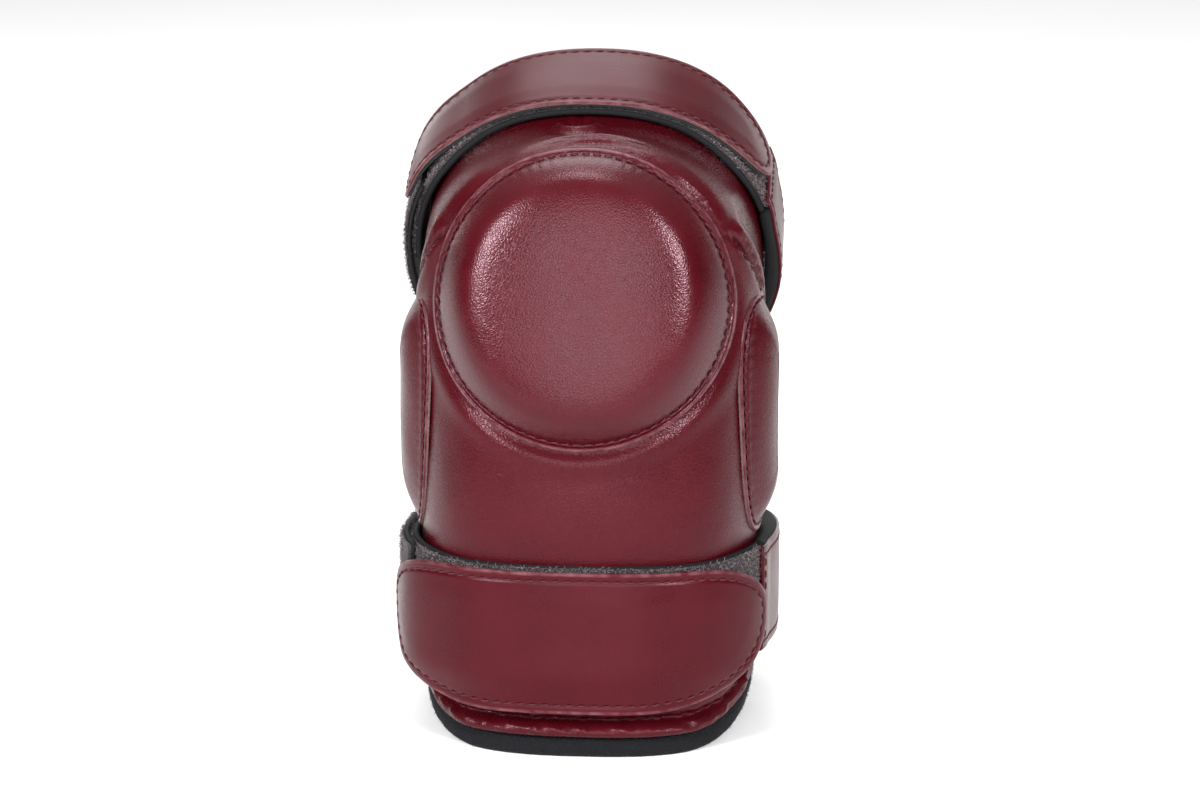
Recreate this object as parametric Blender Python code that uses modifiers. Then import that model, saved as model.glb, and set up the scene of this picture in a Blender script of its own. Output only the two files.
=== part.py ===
"""Strap-on elbow guard: a padded leather front shell with a round elbow cap and two side pads,
held on the arm by two hook-and-loop straps.

The guard stands on its lower hem, facing -Y, with +X on its own left-hand side as worn and +Z up.
Lengths below are in millimetres and angles in degrees; MM turns them into metres.
Places on the front are given by a station (0 at the hem to 7 at the top edge) and an angle
round the arm (0 at the front centre line, +90 at the +X side).
"""

import math

import bmesh
import bpy
import numpy as np
from mathutils import Vector
from mathutils.bvhtree import BVHTree

MM = 0.001

# The shell is drawn about the limb's axis; this moves the whole guard's middle over the origin
FRAME_SHIFT = Vector((0.15, 7.06, 0.0))

# Layers of the front shell, outside to inside, and the gap between layers that touch
COVER_THICKNESS = 1.5
FOAM_THICKNESS = 7.5
LINING_THICKNESS = 2.6
GAP = 0.35
SHELL_THICKNESS = COVER_THICKNESS + FOAM_THICKNESS + LINING_THICKNESS + 2 * GAP
HEM_HEIGHT = 7.0

# How far each layer reaches round the arm, from the front centre line, and how far the cover
# and the foam stop short of the lining's top edge, in stations
COVER_REACH = 98.0
FOAM_REACH = 96.0
LINING_REACH = 101.0
EDGE_SETBACK = 0.05
SHELL_ANGLE_STEP = 13.0
STATION_STEP = 0.5

# Front line and limb axis of the shell, hem to top edge: each station is
# (front y, front z, axis y, axis z, half width, squareness of the section)
STATIONS = np.array(
    [
        (-62.0, 0.0, 0.0, 0.0, 57.0, 2.8),
        (-62.0, 40.0, 0.0, 38.0, 57.0, 2.8),
        (-63.5, 80.0, 0.0, 74.0, 58.5, 2.8),
        (-62.0, 112.0, 0.0, 101.0, 58.5, 2.8),
        (-52.0, 160.0, -1.0, 125.0, 58.5, 2.8),
        (-41.0, 199.0, 1.0, 145.0, 58.0, 2.6),
        (-8.4, 209.4, 9.7, 159.8, 58.5, 2.2),
        (27.3, 222.4, 45.4, 172.8, 58.5, 2.2),
    ]
)
TOP_STATION = len(STATIONS) - 1.0
FIRST_STEP = STATIONS[1, 3]  # how far the shell's side climbs from the hem to station 1

# Round elbow cap: it leans back with the front and is sewn on by its flange
CAP_RADIUS = 50.0
CAP_CENTRE = (-52.7, 157.2)
CAP_LEAN = 15.0
CAP_HEIGHT = 11.0
CAP_CROWN = 2.5
CAP_FOLLOW = 0.45  # share of the shell's curvature that the cap's top keeps
CAP_WALL = (0.72, 0.90)  # the wall between plateau and flange, as shares of the radius
CAP_FOAM_EDGE = 0.80

# Side pads, seen from the side
SIDE_CENTRE = (-17.0, 111.0)
SIDE_HALF_SIZE = (21.5, 41.5)
SIDE_HEIGHT = 6.6
SIDE_SQUARENESS = 3.4
SIDE_WALL = (0.52, 0.88)
SIDE_FOAM_EDGE = 0.74

FLANGE = 0.5  # clearance between the shell and a sewn-on cover
SEWN_COVER_THICKNESS = 1.3

# Straps: heights of the layers above the ring that clears the shell
BAND_THICKNESS = 2.2
LOOP_THICKNESS = 0.7
HOOK_THICKNESS = 0.9
STRAP_LEATHER_THICKNESS = 1.2
LOOP_LEVEL = BAND_THICKNESS + 0.3
HOOK_LEVEL = LOOP_LEVEL + LOOP_THICKNESS + 0.3
TAB_LEVEL = HOOK_LEVEL + HOOK_THICKNESS + 0.3
REAR_LEATHER_RISE = BAND_THICKNESS + 0.3
REAR_TOTAL = REAR_LEATHER_RISE + STRAP_LEATHER_THICKNESS
REAR_SLACK = 3.0  # how far the rear strap bows out just past its seam
HINGE_GAP = 0.3  # along the strap, between two pieces joined by a hinge
STRAP_ANGLE_STEP = 7.5

STRAPS = {
    "upper": {
        "centre": (27.55, 166.3),
        "lean": 70.0,
        "half_width": 60.0,
        "front_depth": 54.3,
        "rear_depth": 52.0,
        "squareness": 2.2,
        "band": (-22.0, 15.0),
        "tab": (-19.0, 19.0),
        "seam": 72.0,
        "band_end": -92.0,
        "tab_right": 66.0,
        "tab_left": -76.0,
        "corner": 19.0,
    },
    "lower": {
        "centre": (0.0, 45.8),
        "lean": 5.5,
        "half_width": 60.0,
        "front_depth": 66.2,
        "rear_depth": 52.0,
        "squareness": 2.8,
        "band": (-19.0, 19.0),
        "tab": (-34.5, 15.5),
        "seam": 62.0,
        "band_end": -86.0,
        "tab_right": 56.5,
        "tab_left": -64.0,
        "corner": 25.0,
    },
}

COLOURS = {
    "leather": ((0.165, 0.022, 0.034), 0.42),
    "foam": ((0.62, 0.60, 0.55), 0.95),
    "felt": ((0.018, 0.017, 0.020), 0.98),
    "neoprene": ((0.030, 0.029, 0.032), 0.85),
    "loop": ((0.075, 0.062, 0.064), 1.0),
    "hook": ((0.015, 0.015, 0.016), 0.80),
}


def clear_scene():
    for obj in list(bpy.data.objects):
        bpy.data.objects.remove(obj, do_unlink=True)


def make_collection(name):
    made = bpy.data.collections.new(name)
    bpy.context.scene.collection.children.link(made)
    return made


def make_materials():
    made = {}
    for name, (colour, roughness) in COLOURS.items():
        material = bpy.data.materials.new(name)
        material.use_nodes = True
        shader = material.node_tree.nodes["Principled BSDF"]
        shader.inputs["Base Color"].default_value = (*colour, 1.0)
        shader.inputs["Roughness"].default_value = roughness
        shader.inputs["Metallic"].default_value = 0.0
        made[name] = material
    return made


def smoothstep(low, high, value):
    share = min(max((value - low) / (high - low), 0.0), 1.0)
    return share * share * (3.0 - 2.0 * share)


def station_at(position):
    """The shell's six section values at a station between two of the given ones, by Catmull-Rom."""
    first = min(int(position), len(STATIONS) - 2)
    t = position - first
    before, after = STATIONS[first], STATIONS[first + 1]
    slope_in = (after - STATIONS[first - 1]) / 2 if first else after - before
    last = first + 2 >= len(STATIONS)
    slope_out = after - before if last else (STATIONS[first + 2] - before) / 2
    return (
        (2 * t**3 - 3 * t**2 + 1) * before
        + (t**3 - 2 * t**2 + t) * slope_in
        + (3 * t**2 - 2 * t**3) * after
        + (t**3 - t**2) * slope_out
    )


def section_radius(angle, half_width, depth, squareness):
    """Distance from the axis to a superellipse, at an angle in radians from the front."""
    across = abs(math.sin(angle) / half_width) ** squareness
    along = abs(math.cos(angle) / depth) ** squareness
    return (across + along) ** (-1.0 / squareness)


def shell_point(position, angle):
    """A point of the shell's outer surface, in millimetres."""
    front_y, front_z, axis_y, axis_z, half_width, squareness = station_at(position)
    depth = math.hypot(front_y - axis_y, front_z - axis_z)
    turn = math.radians(angle)
    radius = section_radius(turn, half_width, depth, squareness)
    forward = radius * math.cos(turn) / depth
    return Vector(
        (
            radius * math.sin(turn),
            axis_y + (front_y - axis_y) * forward,
            axis_z + (front_z - axis_z) * forward,
        )
    )


def shell_normal(position, angle):
    low = max(position - 0.02, 0.0)
    high = min(position + 0.02, TOP_STATION)
    upward = shell_point(high, angle) - shell_point(low, angle)
    sideways = shell_point(position, angle + 0.5) - shell_point(position, angle - 0.5)
    return sideways.cross(upward).normalized()


def below_shell(depth):
    """The surface that lies this far under the shell's outer surface."""

    def point(position, angle):
        return shell_point(position, angle) - shell_normal(position, angle) * depth

    return point


def mesh_object(name, points, faces, material):
    """A mesh object from points in millimetres and faces that turn outwards."""
    mesh = bpy.data.meshes.new(name)
    mesh.from_pydata([tuple((point + FRAME_SHIFT) * MM) for point in points], [], faces)
    mesh.materials.append(MATERIALS[material])
    obj = bpy.data.objects.new(name, mesh)
    GUARD.objects.link(obj)
    return obj


def solidify(obj, thickness):
    """Thickens an open surface inwards."""
    shell = obj.modifiers.new("thickness", "SOLIDIFY")
    shell.thickness = thickness * MM
    shell.offset = -1.0
    obj.data.shade_smooth()
    obj.data.set_sharp_from_angle(angle=math.radians(40))
    return obj


def grid_faces(rows, columns):
    faces = []
    for row in range(rows - 1):
        for column in range(columns - 1):
            corner = row * columns + column
            faces.append((corner, corner + 1, corner + columns + 1, corner + columns))
    return faces


def steps_between(start, end, step):
    """Both ends, and every whole step between them, so that layers share their facets."""
    first = math.floor(start / step) + 1
    last = math.ceil(end / step) - 1
    return [start, *(step * k for k in range(first, last + 1)), end]


def shell_layer(name, depth, thickness, reach, span, material):
    """One layer of the front shell: a patch of the shell's surface, thickened inwards."""
    surface = below_shell(depth)
    positions = steps_between(*span, STATION_STEP)
    angles = steps_between(-reach, reach, SHELL_ANGLE_STEP)
    points = [surface(position, angle) for position in positions for angle in angles]
    obj = mesh_object(name, points, grid_faces(len(positions), len(angles)), material)
    return solidify(obj, thickness)


def make_shell():
    start = (HEM_HEIGHT + GAP) / FIRST_STEP
    foam_depth = COVER_THICKNESS + GAP
    lining_depth = foam_depth + FOAM_THICKNESS + GAP
    short, whole = (start, TOP_STATION - EDGE_SETBACK), (start, TOP_STATION)
    shell_layer("body_cover", 0.0, COVER_THICKNESS, COVER_REACH, short, "leather")
    shell_layer("body_foam", foam_depth, FOAM_THICKNESS, FOAM_REACH, short, "foam")
    shell_layer("body_lining", lining_depth, LINING_THICKNESS, LINING_REACH, whole, "felt")


def make_hem():
    """The felt binding under all the layers, an upright strip with a flat foot."""
    angles = steps_between(-COVER_REACH, COVER_REACH, SHELL_ANGLE_STEP)
    foot = [shell_point(0.0, angle) for angle in angles]
    top = [point + Vector((0.0, 0.0, HEM_HEIGHT)) for point in foot]
    obj = mesh_object("hem_binding", foot + top, grid_faces(2, len(angles)), "felt")
    solidify(obj, SHELL_THICKNESS)


def shell_tree():
    """A fine copy of the shell's outer surface, to lay the cap and the side pads on."""
    across, along = 96, 96
    points = [
        shell_point(position, angle)
        for position in np.linspace(0.0, TOP_STATION, along + 1)
        for angle in np.linspace(-LINING_REACH, LINING_REACH, across + 1)
    ]
    return BVHTree.FromPolygons(points, grid_faces(along + 1, across + 1))


def cap_frame():
    """The cap's centre and its right, up and outward directions."""
    lean = math.radians(CAP_LEAN)
    centre = Vector((0.0, *CAP_CENTRE))
    up = Vector((0.0, math.sin(lean), math.cos(lean)))
    outward = Vector((0.0, -math.cos(lean), math.sin(lean)))
    return centre, Vector((1.0, 0.0, 0.0)), up, outward


def cast_on_shell(tree, point, outward):
    hit, normal, _, _ = tree.ray_cast(point + outward * 100.0, -outward)
    return hit, normal


def cap_surface(tree):
    """Gives the point of the cap's outer surface at a share of the radius and an angle."""
    centre, right, up, outward = cap_frame()

    def point(share, angle):
        radius = share * CAP_RADIUS
        flat = centre + right * radius * math.cos(angle) + up * radius * math.sin(angle)
        hit, normal = cast_on_shell(tree, flat, outward)
        flange = hit + normal * (FLANGE + SEWN_COVER_THICKNESS)
        plateau = hit * CAP_FOLLOW + flat * (1.0 - CAP_FOLLOW)
        plateau += outward * (CAP_HEIGHT - CAP_CROWN * share**2)
        return flange.lerp(plateau, 1.0 - smoothstep(*CAP_WALL, share))

    return point


def side_surface(tree, side):
    """Gives the point of a side pad's outer surface; side is +1 or -1."""
    outward = Vector((side, 0.0, 0.0))

    def point(share, angle):
        across = math.copysign(abs(math.cos(angle)) ** (2 / SIDE_SQUARENESS), math.cos(angle))
        along = math.copysign(abs(math.sin(angle)) ** (2 / SIDE_SQUARENESS), math.sin(angle))
        y = SIDE_CENTRE[0] + side * share * across * SIDE_HALF_SIZE[0]
        z = SIDE_CENTRE[1] + share * along * SIDE_HALF_SIZE[1]
        hit, normal = cast_on_shell(tree, Vector((0.0, y, z)), outward)
        rise = FLANGE + SEWN_COVER_THICKNESS
        rise += SIDE_HEIGHT * (1.0 - smoothstep(*SIDE_WALL, share))
        return hit + normal * rise

    return point


def disc_points(surface, shares, turns):
    """The centre of a round patch, then its rings from the inside out."""
    points = [surface(0.0, 0.0)]
    for share in shares:
        points += [surface(share, 2 * math.pi * turn / turns) for turn in range(turns)]
    return points


def disc_faces(rings, turns, first=0):
    """A fan at the centre, and quads between the rings."""
    faces = []
    for turn in range(turns):
        after = (turn + 1) % turns
        faces.append((first, first + 1 + turn, first + 1 + after))
        for ring in range(rings - 1):
            inner = first + 1 + ring * turns
            outer = inner + turns
            faces.append((inner + turn, outer + turn, outer + after, inner + after))
    return faces


def sewn_cover(name, surface, shares, turns):
    points = disc_points(surface, shares, turns)
    obj = mesh_object(name, points, disc_faces(len(shares), turns), "leather")
    return solidify(obj, SEWN_COVER_THICKNESS)


def cover_normal(surface, share, angle):
    """The outward normal of a round patch, away from its very centre."""
    share = max(share, 0.02)
    outwards = surface(share + 0.01, angle) - surface(share - 0.01, angle)
    around = surface(share, angle + 0.02) - surface(share, angle - 0.02)
    return outwards.cross(around).normalized()


def sewn_foam(name, surface, shares, turns, tree):
    """The foam under a sewn cover: its top follows the cover and its base follows the shell."""
    sink = SEWN_COVER_THICKNESS + GAP + 0.1

    def top(share, angle):
        return surface(share, angle) - cover_normal(surface, share, angle) * sink

    def base(share, angle):
        above = top(share, angle)
        nearest, normal, _, _ = tree.find_nearest(above)
        return nearest + normal * FLANGE

    tops = disc_points(top, shares, turns)
    bases = disc_points(base, shares, turns)
    faces = disc_faces(len(shares), turns)
    faces += [face[::-1] for face in disc_faces(len(shares), turns, first=len(tops))]
    rim = len(tops) - turns
    for turn in range(turns):
        after = (turn + 1) % turns
        above, above_next = rim + turn, rim + after
        faces.append((above, above + len(tops), above_next + len(tops), above_next))
    obj = mesh_object(name, tops + bases, faces, "foam")
    obj.data.shade_smooth()
    obj.data.set_sharp_from_angle(angle=math.radians(40))
    return obj


def make_sewn_pads():
    tree = shell_tree()
    cap = cap_surface(tree)
    sewn_cover("cap_cover", cap, (0.3, 0.6, 0.72, 0.78, 0.84, 0.90, 1.0), 28)
    sewn_foam("cap_foam", cap, (0.3, 0.6, 0.72, CAP_FOAM_EDGE), 28, tree)
    for name, side in (("left", -1.0), ("right", 1.0)):
        pad = side_surface(tree, side)
        sewn_cover(f"{name}_side_cover", pad, (0.3, 0.52, 0.66, 0.77, 0.88, 1.0), 24)
        sewn_foam(f"{name}_side_foam", pad, (0.3, 0.52, 0.64, SIDE_FOAM_EDGE), 24, tree)


class StrapRing:
    """The closed path of one strap round the arm. Angles run from the front centre line, with
    the +X side at 90; the strap's rear half runs from its seam past 180 to the tab."""

    def __init__(self, strap):
        lean = math.radians(strap["lean"])
        self.centre = Vector((0.0, *strap["centre"]))
        self.forward = Vector((0.0, -math.cos(lean), math.sin(lean)))
        self.axis = Vector((0.0, math.sin(lean), math.cos(lean)))
        self.strap = strap

    def path(self, angle):
        turn = math.radians(angle)
        depth = self.strap["front_depth" if math.cos(turn) >= 0.0 else "rear_depth"]
        radius = section_radius(turn, self.strap["half_width"], depth, self.strap["squareness"])
        sideways = Vector((radius * math.sin(turn), 0.0, 0.0))
        return self.centre + sideways + self.forward * radius * math.cos(turn)

    def point(self, angle, level, across):
        """A point above the ring by level, and along the arm by across."""
        tangent = self.path(angle + 0.25) - self.path(angle - 0.25)
        outward = self.axis.cross(-tangent).normalized()
        if outward.dot(self.path(angle) - self.centre) < 0.0:
            outward = -outward
        return self.path(angle) + outward * level + self.axis * across

    def length(self, start, end, level):
        """Arc length between two angles, found in small chords."""
        steps = np.linspace(start, end, 25)
        points = [self.point(angle, level, 0.0) for angle in steps]
        return sum((b - a).length for a, b in zip(points, points[1:]))

    def angle_after(self, start, distance, level, direction):
        """The angle that lies a distance along the strap from another angle."""
        step = 0.25 * direction
        travelled = 0.0
        angle = start
        while travelled < distance:
            travelled += self.length(angle, angle + step, level)
            angle += step
        return angle


def rear_rise(strap, angle):
    """The rear strap starts level with the band and ends above it, under the tab."""
    seam, rear_end = strap["seam"], strap["tab_left"] + 360.0
    climb = HOOK_LEVEL * smoothstep(seam + 20.0, rear_end - 20.0, angle)
    bow = smoothstep(seam, seam + 30.0, angle) * (1.0 - smoothstep(120.0, 200.0, angle))
    return climb + REAR_SLACK * bow


def strap_piece(name, ring, columns, level, thickness, material):
    """A strip of strap from columns of (angle, low edge, high edge); level gives its outer face."""
    points = [ring.point(angle, level(angle), low) for angle, low, _ in columns]
    points += [ring.point(angle, level(angle), high) for angle, _, high in columns]
    obj = mesh_object(name, points, grid_faces(2, len(columns)), material)
    return solidify(obj, thickness)


def plain_columns(start, end, edges):
    return [(angle, *edges) for angle in steps_between(start, end, STRAP_ANGLE_STEP)]


def tab_columns(ring, start, end, rounded):
    """Columns of a tab half whose end named by rounded, "start" or "end", is a round corner."""
    low, high = ring.strap["tab"]
    middle, half = (low + high) / 2, (high - low) / 2
    corner = ring.strap["corner"]
    tip, direction = (start, 1.0) if rounded == "start" else (end, -1.0)
    extra = [ring.angle_after(tip, corner * share, TAB_LEVEL, direction) for share in (0.12, 0.4)]
    columns = []
    for angle in sorted({*steps_between(start, end, STRAP_ANGLE_STEP), *extra}):
        distance = ring.length(min(tip, angle), max(tip, angle), TAB_LEVEL)
        inside = max(1.0 - distance / corner, 0.0)
        reach = half * max(1.0 - inside**2.5, 0.0) ** (1 / 2.5)
        reach = max(reach, 0.3 * half)
        columns.append((angle, middle - reach, middle + reach))
    return columns


def world_place(empty):
    """Where an empty stands, from its own location and its parents'."""
    place = Vector()
    while empty:
        place += empty.location
        empty = empty.parent
    return place


def hinge(name, place, parent):
    """An empty on a hinge's axis; the pieces of strap that turn there hang from it."""
    empty = bpy.data.objects.new(name, None)
    empty.empty_display_size = 10 * MM
    empty.parent = parent
    empty.location = (place + FRAME_SHIFT) * MM - world_place(parent)
    GUARD.objects.link(empty)
    return empty


def carry(empty, *pieces):
    for piece in pieces:
        piece.parent = empty
        piece.location = -world_place(empty)


def make_band(name, ring):
    """The band that is sewn on the shell's front, with the loop face that the tab grips."""
    strap = ring.strap
    columns = plain_columns(strap["band_end"], strap["seam"], strap["band"])
    strap_piece(
        f"{name}_band", ring, columns, lambda angle: BAND_THICKNESS, BAND_THICKNESS, "neoprene"
    )
    face_end = strap["seam"] - 1.5
    low, high = strap["band"]
    columns = plain_columns(strap["band_end"] + 1.5, face_end, (low + 0.8, high - 0.8))
    top = LOOP_LEVEL + LOOP_THICKNESS
    strap_piece(f"{name}_loop_face", ring, columns, lambda angle: top, LOOP_THICKNESS, "loop")


def make_rear_half(name, ring, start, end):
    """One half of the strap behind the arm: leather outside, neoprene inside."""
    strap = ring.strap
    low, high = strap["band"]

    def leather_level(angle):
        return rear_rise(strap, angle) + REAR_TOTAL

    def lining_level(angle):
        return rear_rise(strap, angle) + BAND_THICKNESS

    leather = strap_piece(
        f"{name}_leather",
        ring,
        plain_columns(start, end, (low + 0.8, high - 0.8)),
        leather_level,
        STRAP_LEATHER_THICKNESS,
        "leather",
    )
    lining = strap_piece(
        f"{name}_lining",
        ring,
        plain_columns(start, end, (low, high)),
        lining_level,
        BAND_THICKNESS,
        "neoprene",
    )
    return leather, lining


def make_tab_half(name, ring, start, end, rounded):
    """One half of the front tab: leather outside, hook sheet inside."""
    columns = tab_columns(ring, start, end, rounded)
    top = TAB_LEVEL + STRAP_LEATHER_THICKNESS
    leather = strap_piece(
        f"{name}_leather", ring, columns, lambda angle: top, STRAP_LEATHER_THICKNESS, "leather"
    )
    top_of_hook = HOOK_LEVEL + HOOK_THICKNESS
    hook = strap_piece(
        f"{name}_hook", ring, columns, lambda angle: top_of_hook, HOOK_THICKNESS, "hook"
    )
    return leather, hook


def make_strap(name, strap):
    """One strap: a fixed band, and four hinged lengths that peel off it in one chain."""
    ring = StrapRing(strap)
    make_band(name, ring)

    rear_outer = HOOK_LEVEL + REAR_TOTAL
    half_gap = math.degrees(HINGE_GAP / 2 / strap["half_width"])
    seam, back, tab_left = strap["seam"], 180.0, strap["tab_left"]
    rise_at_back = rear_rise(strap, back) + REAR_TOTAL
    seam_hinge = hinge(f"{name}_seam_hinge", ring.point(seam + half_gap, REAR_TOTAL, 0), None)
    back_hinge = hinge(f"{name}_back_hinge", ring.point(back, rise_at_back, 0), seam_hinge)
    side_hinge = hinge(f"{name}_side_hinge", ring.point(tab_left, rear_outer, 0), back_hinge)
    front_hinge = hinge(
        f"{name}_front_hinge", ring.point(0.0, TAB_LEVEL + STRAP_LEATHER_THICKNESS, 0), side_hinge
    )

    right_start = seam + 2 * half_gap
    left_end = tab_left + 360.0 - half_gap
    carry(seam_hinge, *make_rear_half(f"{name}_rear_right", ring, right_start, back - half_gap))
    carry(back_hinge, *make_rear_half(f"{name}_rear_left", ring, back + half_gap, left_end))
    tab_start = tab_left + half_gap
    carry(side_hinge, *make_tab_half(f"{name}_tab_left", ring, tab_start, -half_gap, "start"))
    carry(
        front_hinge,
        *make_tab_half(f"{name}_tab_right", ring, half_gap, strap["tab_right"], "end"),
    )


clear_scene()
GUARD = make_collection("elbow_pad")
MATERIALS = make_materials()
make_shell()
make_hem()
make_sewn_pads()
for strap_name, strap_sizes in STRAPS.items():
    make_strap(strap_name, strap_sizes)
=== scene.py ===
"""Looks of the elbow pad: padded leather shell, round cap, side pads and hook-and-loop straps.

The surfaces repeat the CAD part's own formulas at a fine step. Lengths are in millimetres about
the limb's axis, and angles in degrees; mesh_piece() turns them into the frame's metres.
"""

import math

import bmesh
import bpy
import numpy as np
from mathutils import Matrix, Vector
from mathutils.bvhtree import BVHTree


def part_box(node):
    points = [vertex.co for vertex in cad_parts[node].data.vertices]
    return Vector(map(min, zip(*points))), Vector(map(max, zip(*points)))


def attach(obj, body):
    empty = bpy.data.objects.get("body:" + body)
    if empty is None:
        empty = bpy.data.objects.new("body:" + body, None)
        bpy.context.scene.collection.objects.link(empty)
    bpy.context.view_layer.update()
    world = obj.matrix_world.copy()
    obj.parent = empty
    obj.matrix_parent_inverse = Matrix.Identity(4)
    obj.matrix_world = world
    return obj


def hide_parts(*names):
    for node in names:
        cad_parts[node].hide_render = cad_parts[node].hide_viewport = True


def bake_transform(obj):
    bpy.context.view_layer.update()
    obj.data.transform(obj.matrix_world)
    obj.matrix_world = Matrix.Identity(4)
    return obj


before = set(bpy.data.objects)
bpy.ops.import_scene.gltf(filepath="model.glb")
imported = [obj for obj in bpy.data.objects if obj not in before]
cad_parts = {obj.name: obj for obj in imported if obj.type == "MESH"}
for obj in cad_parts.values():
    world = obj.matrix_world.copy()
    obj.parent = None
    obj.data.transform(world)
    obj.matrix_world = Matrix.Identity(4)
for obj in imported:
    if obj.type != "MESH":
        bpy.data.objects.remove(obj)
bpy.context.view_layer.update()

MM = 0.001

# ---------------------------------------------------------------- sizes shared with the CAD part

STATIONS = np.array(
    [
        (-62.0, 0.0, 0.0, 0.0, 57.0, 2.8),
        (-62.0, 40.0, 0.0, 38.0, 57.0, 2.8),
        (-63.5, 80.0, 0.0, 74.0, 58.5, 2.8),
        (-62.0, 112.0, 0.0, 101.0, 58.5, 2.8),
        (-52.0, 160.0, -1.0, 125.0, 58.5, 2.8),
        (-41.0, 199.0, 1.0, 145.0, 58.0, 2.6),
        (-8.4, 209.4, 9.7, 159.8, 58.5, 2.2),
        (27.3, 222.4, 45.4, 172.8, 58.5, 2.2),
    ]
)
TOP_STATION = len(STATIONS) - 1.0
FIRST_STEP = STATIONS[1, 3]
HEM_HEIGHT = 7.0
SHELL_THICKNESS = 12.3
COVER_REACH = 98.0
LINING_REACH = 101.0
LINING_DEPTH = 9.7
EDGE_SETBACK = 0.05

CAP_RADIUS = 50.0
CAP_CENTRE = (-52.7, 157.2)
CAP_LEAN = 15.0
CAP_HEIGHT = 11.0
CAP_FLATTER = 0.32  # share of the shell's curve that the cap's face follows

SIDE_CENTRE = (-17.0, 111.0)
SIDE_HALF_SIZE = (21.5, 41.5)
SIDE_HEIGHT = 6.6

BAND_THICKNESS = 2.2
LOOP_TOP = 3.2
HOOK_LEVEL = 3.5
HOOK_THICKNESS = 0.9
TAB_TOP = 5.9
STRAP_LEATHER = 1.2
REAR_SLACK = 3.0

STRAPS = {
    "upper": {
        "centre": (27.55, 166.3),
        "lean": 70.0,
        "half_width": 60.0,
        "front_depth": 54.3,
        "rear_depth": 52.0,
        "squareness": 2.2,
        "band": (-22.0, 15.0),
        "tab": (-19.0, 19.0),
        "seam": 72.0,
        "band_end": -92.0,
        "tab_right": 66.0,
        "tab_left": -76.0,
        "tip": 0.30,
        "corners": (12.0, 44.0),
        "trim": (4.0, 0.0),
    },
    "lower": {
        "centre": (0.0, 45.8),
        "lean": 5.5,
        "half_width": 60.0,
        "front_depth": 66.2,
        "rear_depth": 52.0,
        "squareness": 2.8,
        "band": (-19.0, 19.0),
        "tab": (-33.4, 15.5),
        "seam": 62.0,
        "band_end": -86.0,
        "tab_right": 56.5,
        "tab_left": -64.0,
        "tip": 0.64,
        "corners": (55.0, 34.0),
        "trim": (0.0, 1.8),
    },
}

# Where the limb's axis stands in the frame, read from the hem
HEM_LOW, HEM_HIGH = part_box("hem_binding")
AXIS_PLACE = np.array(
    [(HEM_LOW.x + HEM_HIGH.x) / 2 / MM, HEM_LOW.y / MM - STATIONS[0, 0], HEM_LOW.z / MM]
)

# ---------------------------------------------------------------- sizes of the visible detail

STITCH_PITCH = 4.2
CAP_STITCH_PITCH = 3.8
THREAD_RADIUS = 0.33
STRAP_STITCH_INSET = 3.0
FLANGE_STITCH_INSET = 2.3
FLANGE_RISE = 0.25  # underside of a sewn flange above the leather that it lies on
FLANGE_THICKNESS = 1.3
PAD_WALL_START = 1.9  # how far in from its edge a sewn pad starts to rise
CAP_CROWN = 1.4  # how far the cap's face falls from its middle to its edge
SIDE_CROWN = 1.0  # how far a side pad stands above its CAD height
SIDE_SQUARENESS = 2.8
PAD_PUFF = 1.2  # the most that air pressure moves a pad's face
PUFF_STEPS = 20
PINNED_RINGS = 9  # rings of a pad that its stitches hold down
FOLD_HEIGHT = 13.6  # the stitched fold of the cover above the hem
COVER_EDGE_RADIUS = 4.5
CORNER_RISE = 17.0  # how far the lower edge climbs from the front to its rear corners
RISE_START = 32.0
RISE_FADE = 1.5  # stations over which that climb fades out
TUCK_LIFT = 2.4  # how far the tab rises over the strap's end
TUCK_LENGTH = 12.0
FREE_END_LIFT = 1.5  # how far the tab's free end stands off the loop tape
PILE_LENGTH = 2.0
STRIP_STEP = 1.6


# ---------------------------------------------------------------- small mathematics


def smooth(low, high, value):
    share = np.clip((value - low) / (high - low), 0.0, 1.0)
    return share * share * (3.0 - 2.0 * share)


def bell(value, centre, width):
    return np.exp(-(((value - centre) / width) ** 2))


def unit(vectors):
    return vectors / np.maximum(np.linalg.norm(vectors, axis=-1, keepdims=True), 1e-9)


def waves(points, wavelength, seed, count=6):
    """Smooth, repeatable unevenness, mostly between -1 and 1."""
    random = np.random.default_rng(seed)
    total = np.zeros(points.shape[:-1])
    for _ in range(count):
        direction = unit(random.normal(size=3))
        length = wavelength * random.uniform(0.7, 1.4)
        total += np.sin(points @ direction * 2 * math.pi / length + random.uniform(0, 7))
    return total / math.sqrt(count)


def arc_table(points):
    """The run along a line of points, at each of them."""
    return np.concatenate([[0], np.cumsum(np.linalg.norm(np.diff(points, axis=0), axis=1))])


def values_at(where, runs, values):
    """Rows of values, known at the runs of a line, read off elsewhere along it."""
    return np.stack([np.interp(where, runs, column) for column in values.T], axis=-1)


def round_over(distance, radius):
    """How far a rounded edge lies below its face, at a distance in from the edge."""
    inside = np.clip(radius - distance, 0.0, radius)
    return radius - np.sqrt(radius**2 - inside**2)


# ---------------------------------------------------------------- the shell's surface


def stations_at(positions):
    """The six section values at stations between the given ones, by Catmull-Rom."""
    positions = np.asarray(positions, float)
    last = len(STATIONS) - 1
    first = np.clip(np.floor(positions).astype(int), 0, last - 1)
    t = (positions - first)[..., None]
    before, after = STATIONS[first], STATIONS[first + 1]
    step = after - before
    first = first[..., None]
    slope_in = np.where(first > 0, (after - STATIONS[np.maximum(first[..., 0] - 1, 0)]) / 2, step)
    beyond = STATIONS[np.minimum(first[..., 0] + 2, last)]
    slope_out = np.where(first + 2 <= last, (beyond - before) / 2, step)
    return (
        (2 * t**3 - 3 * t**2 + 1) * before
        + (t**3 - 2 * t**2 + t) * slope_in
        + (3 * t**2 - 2 * t**3) * after
        + (t**3 - t**2) * slope_out
    )


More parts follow.
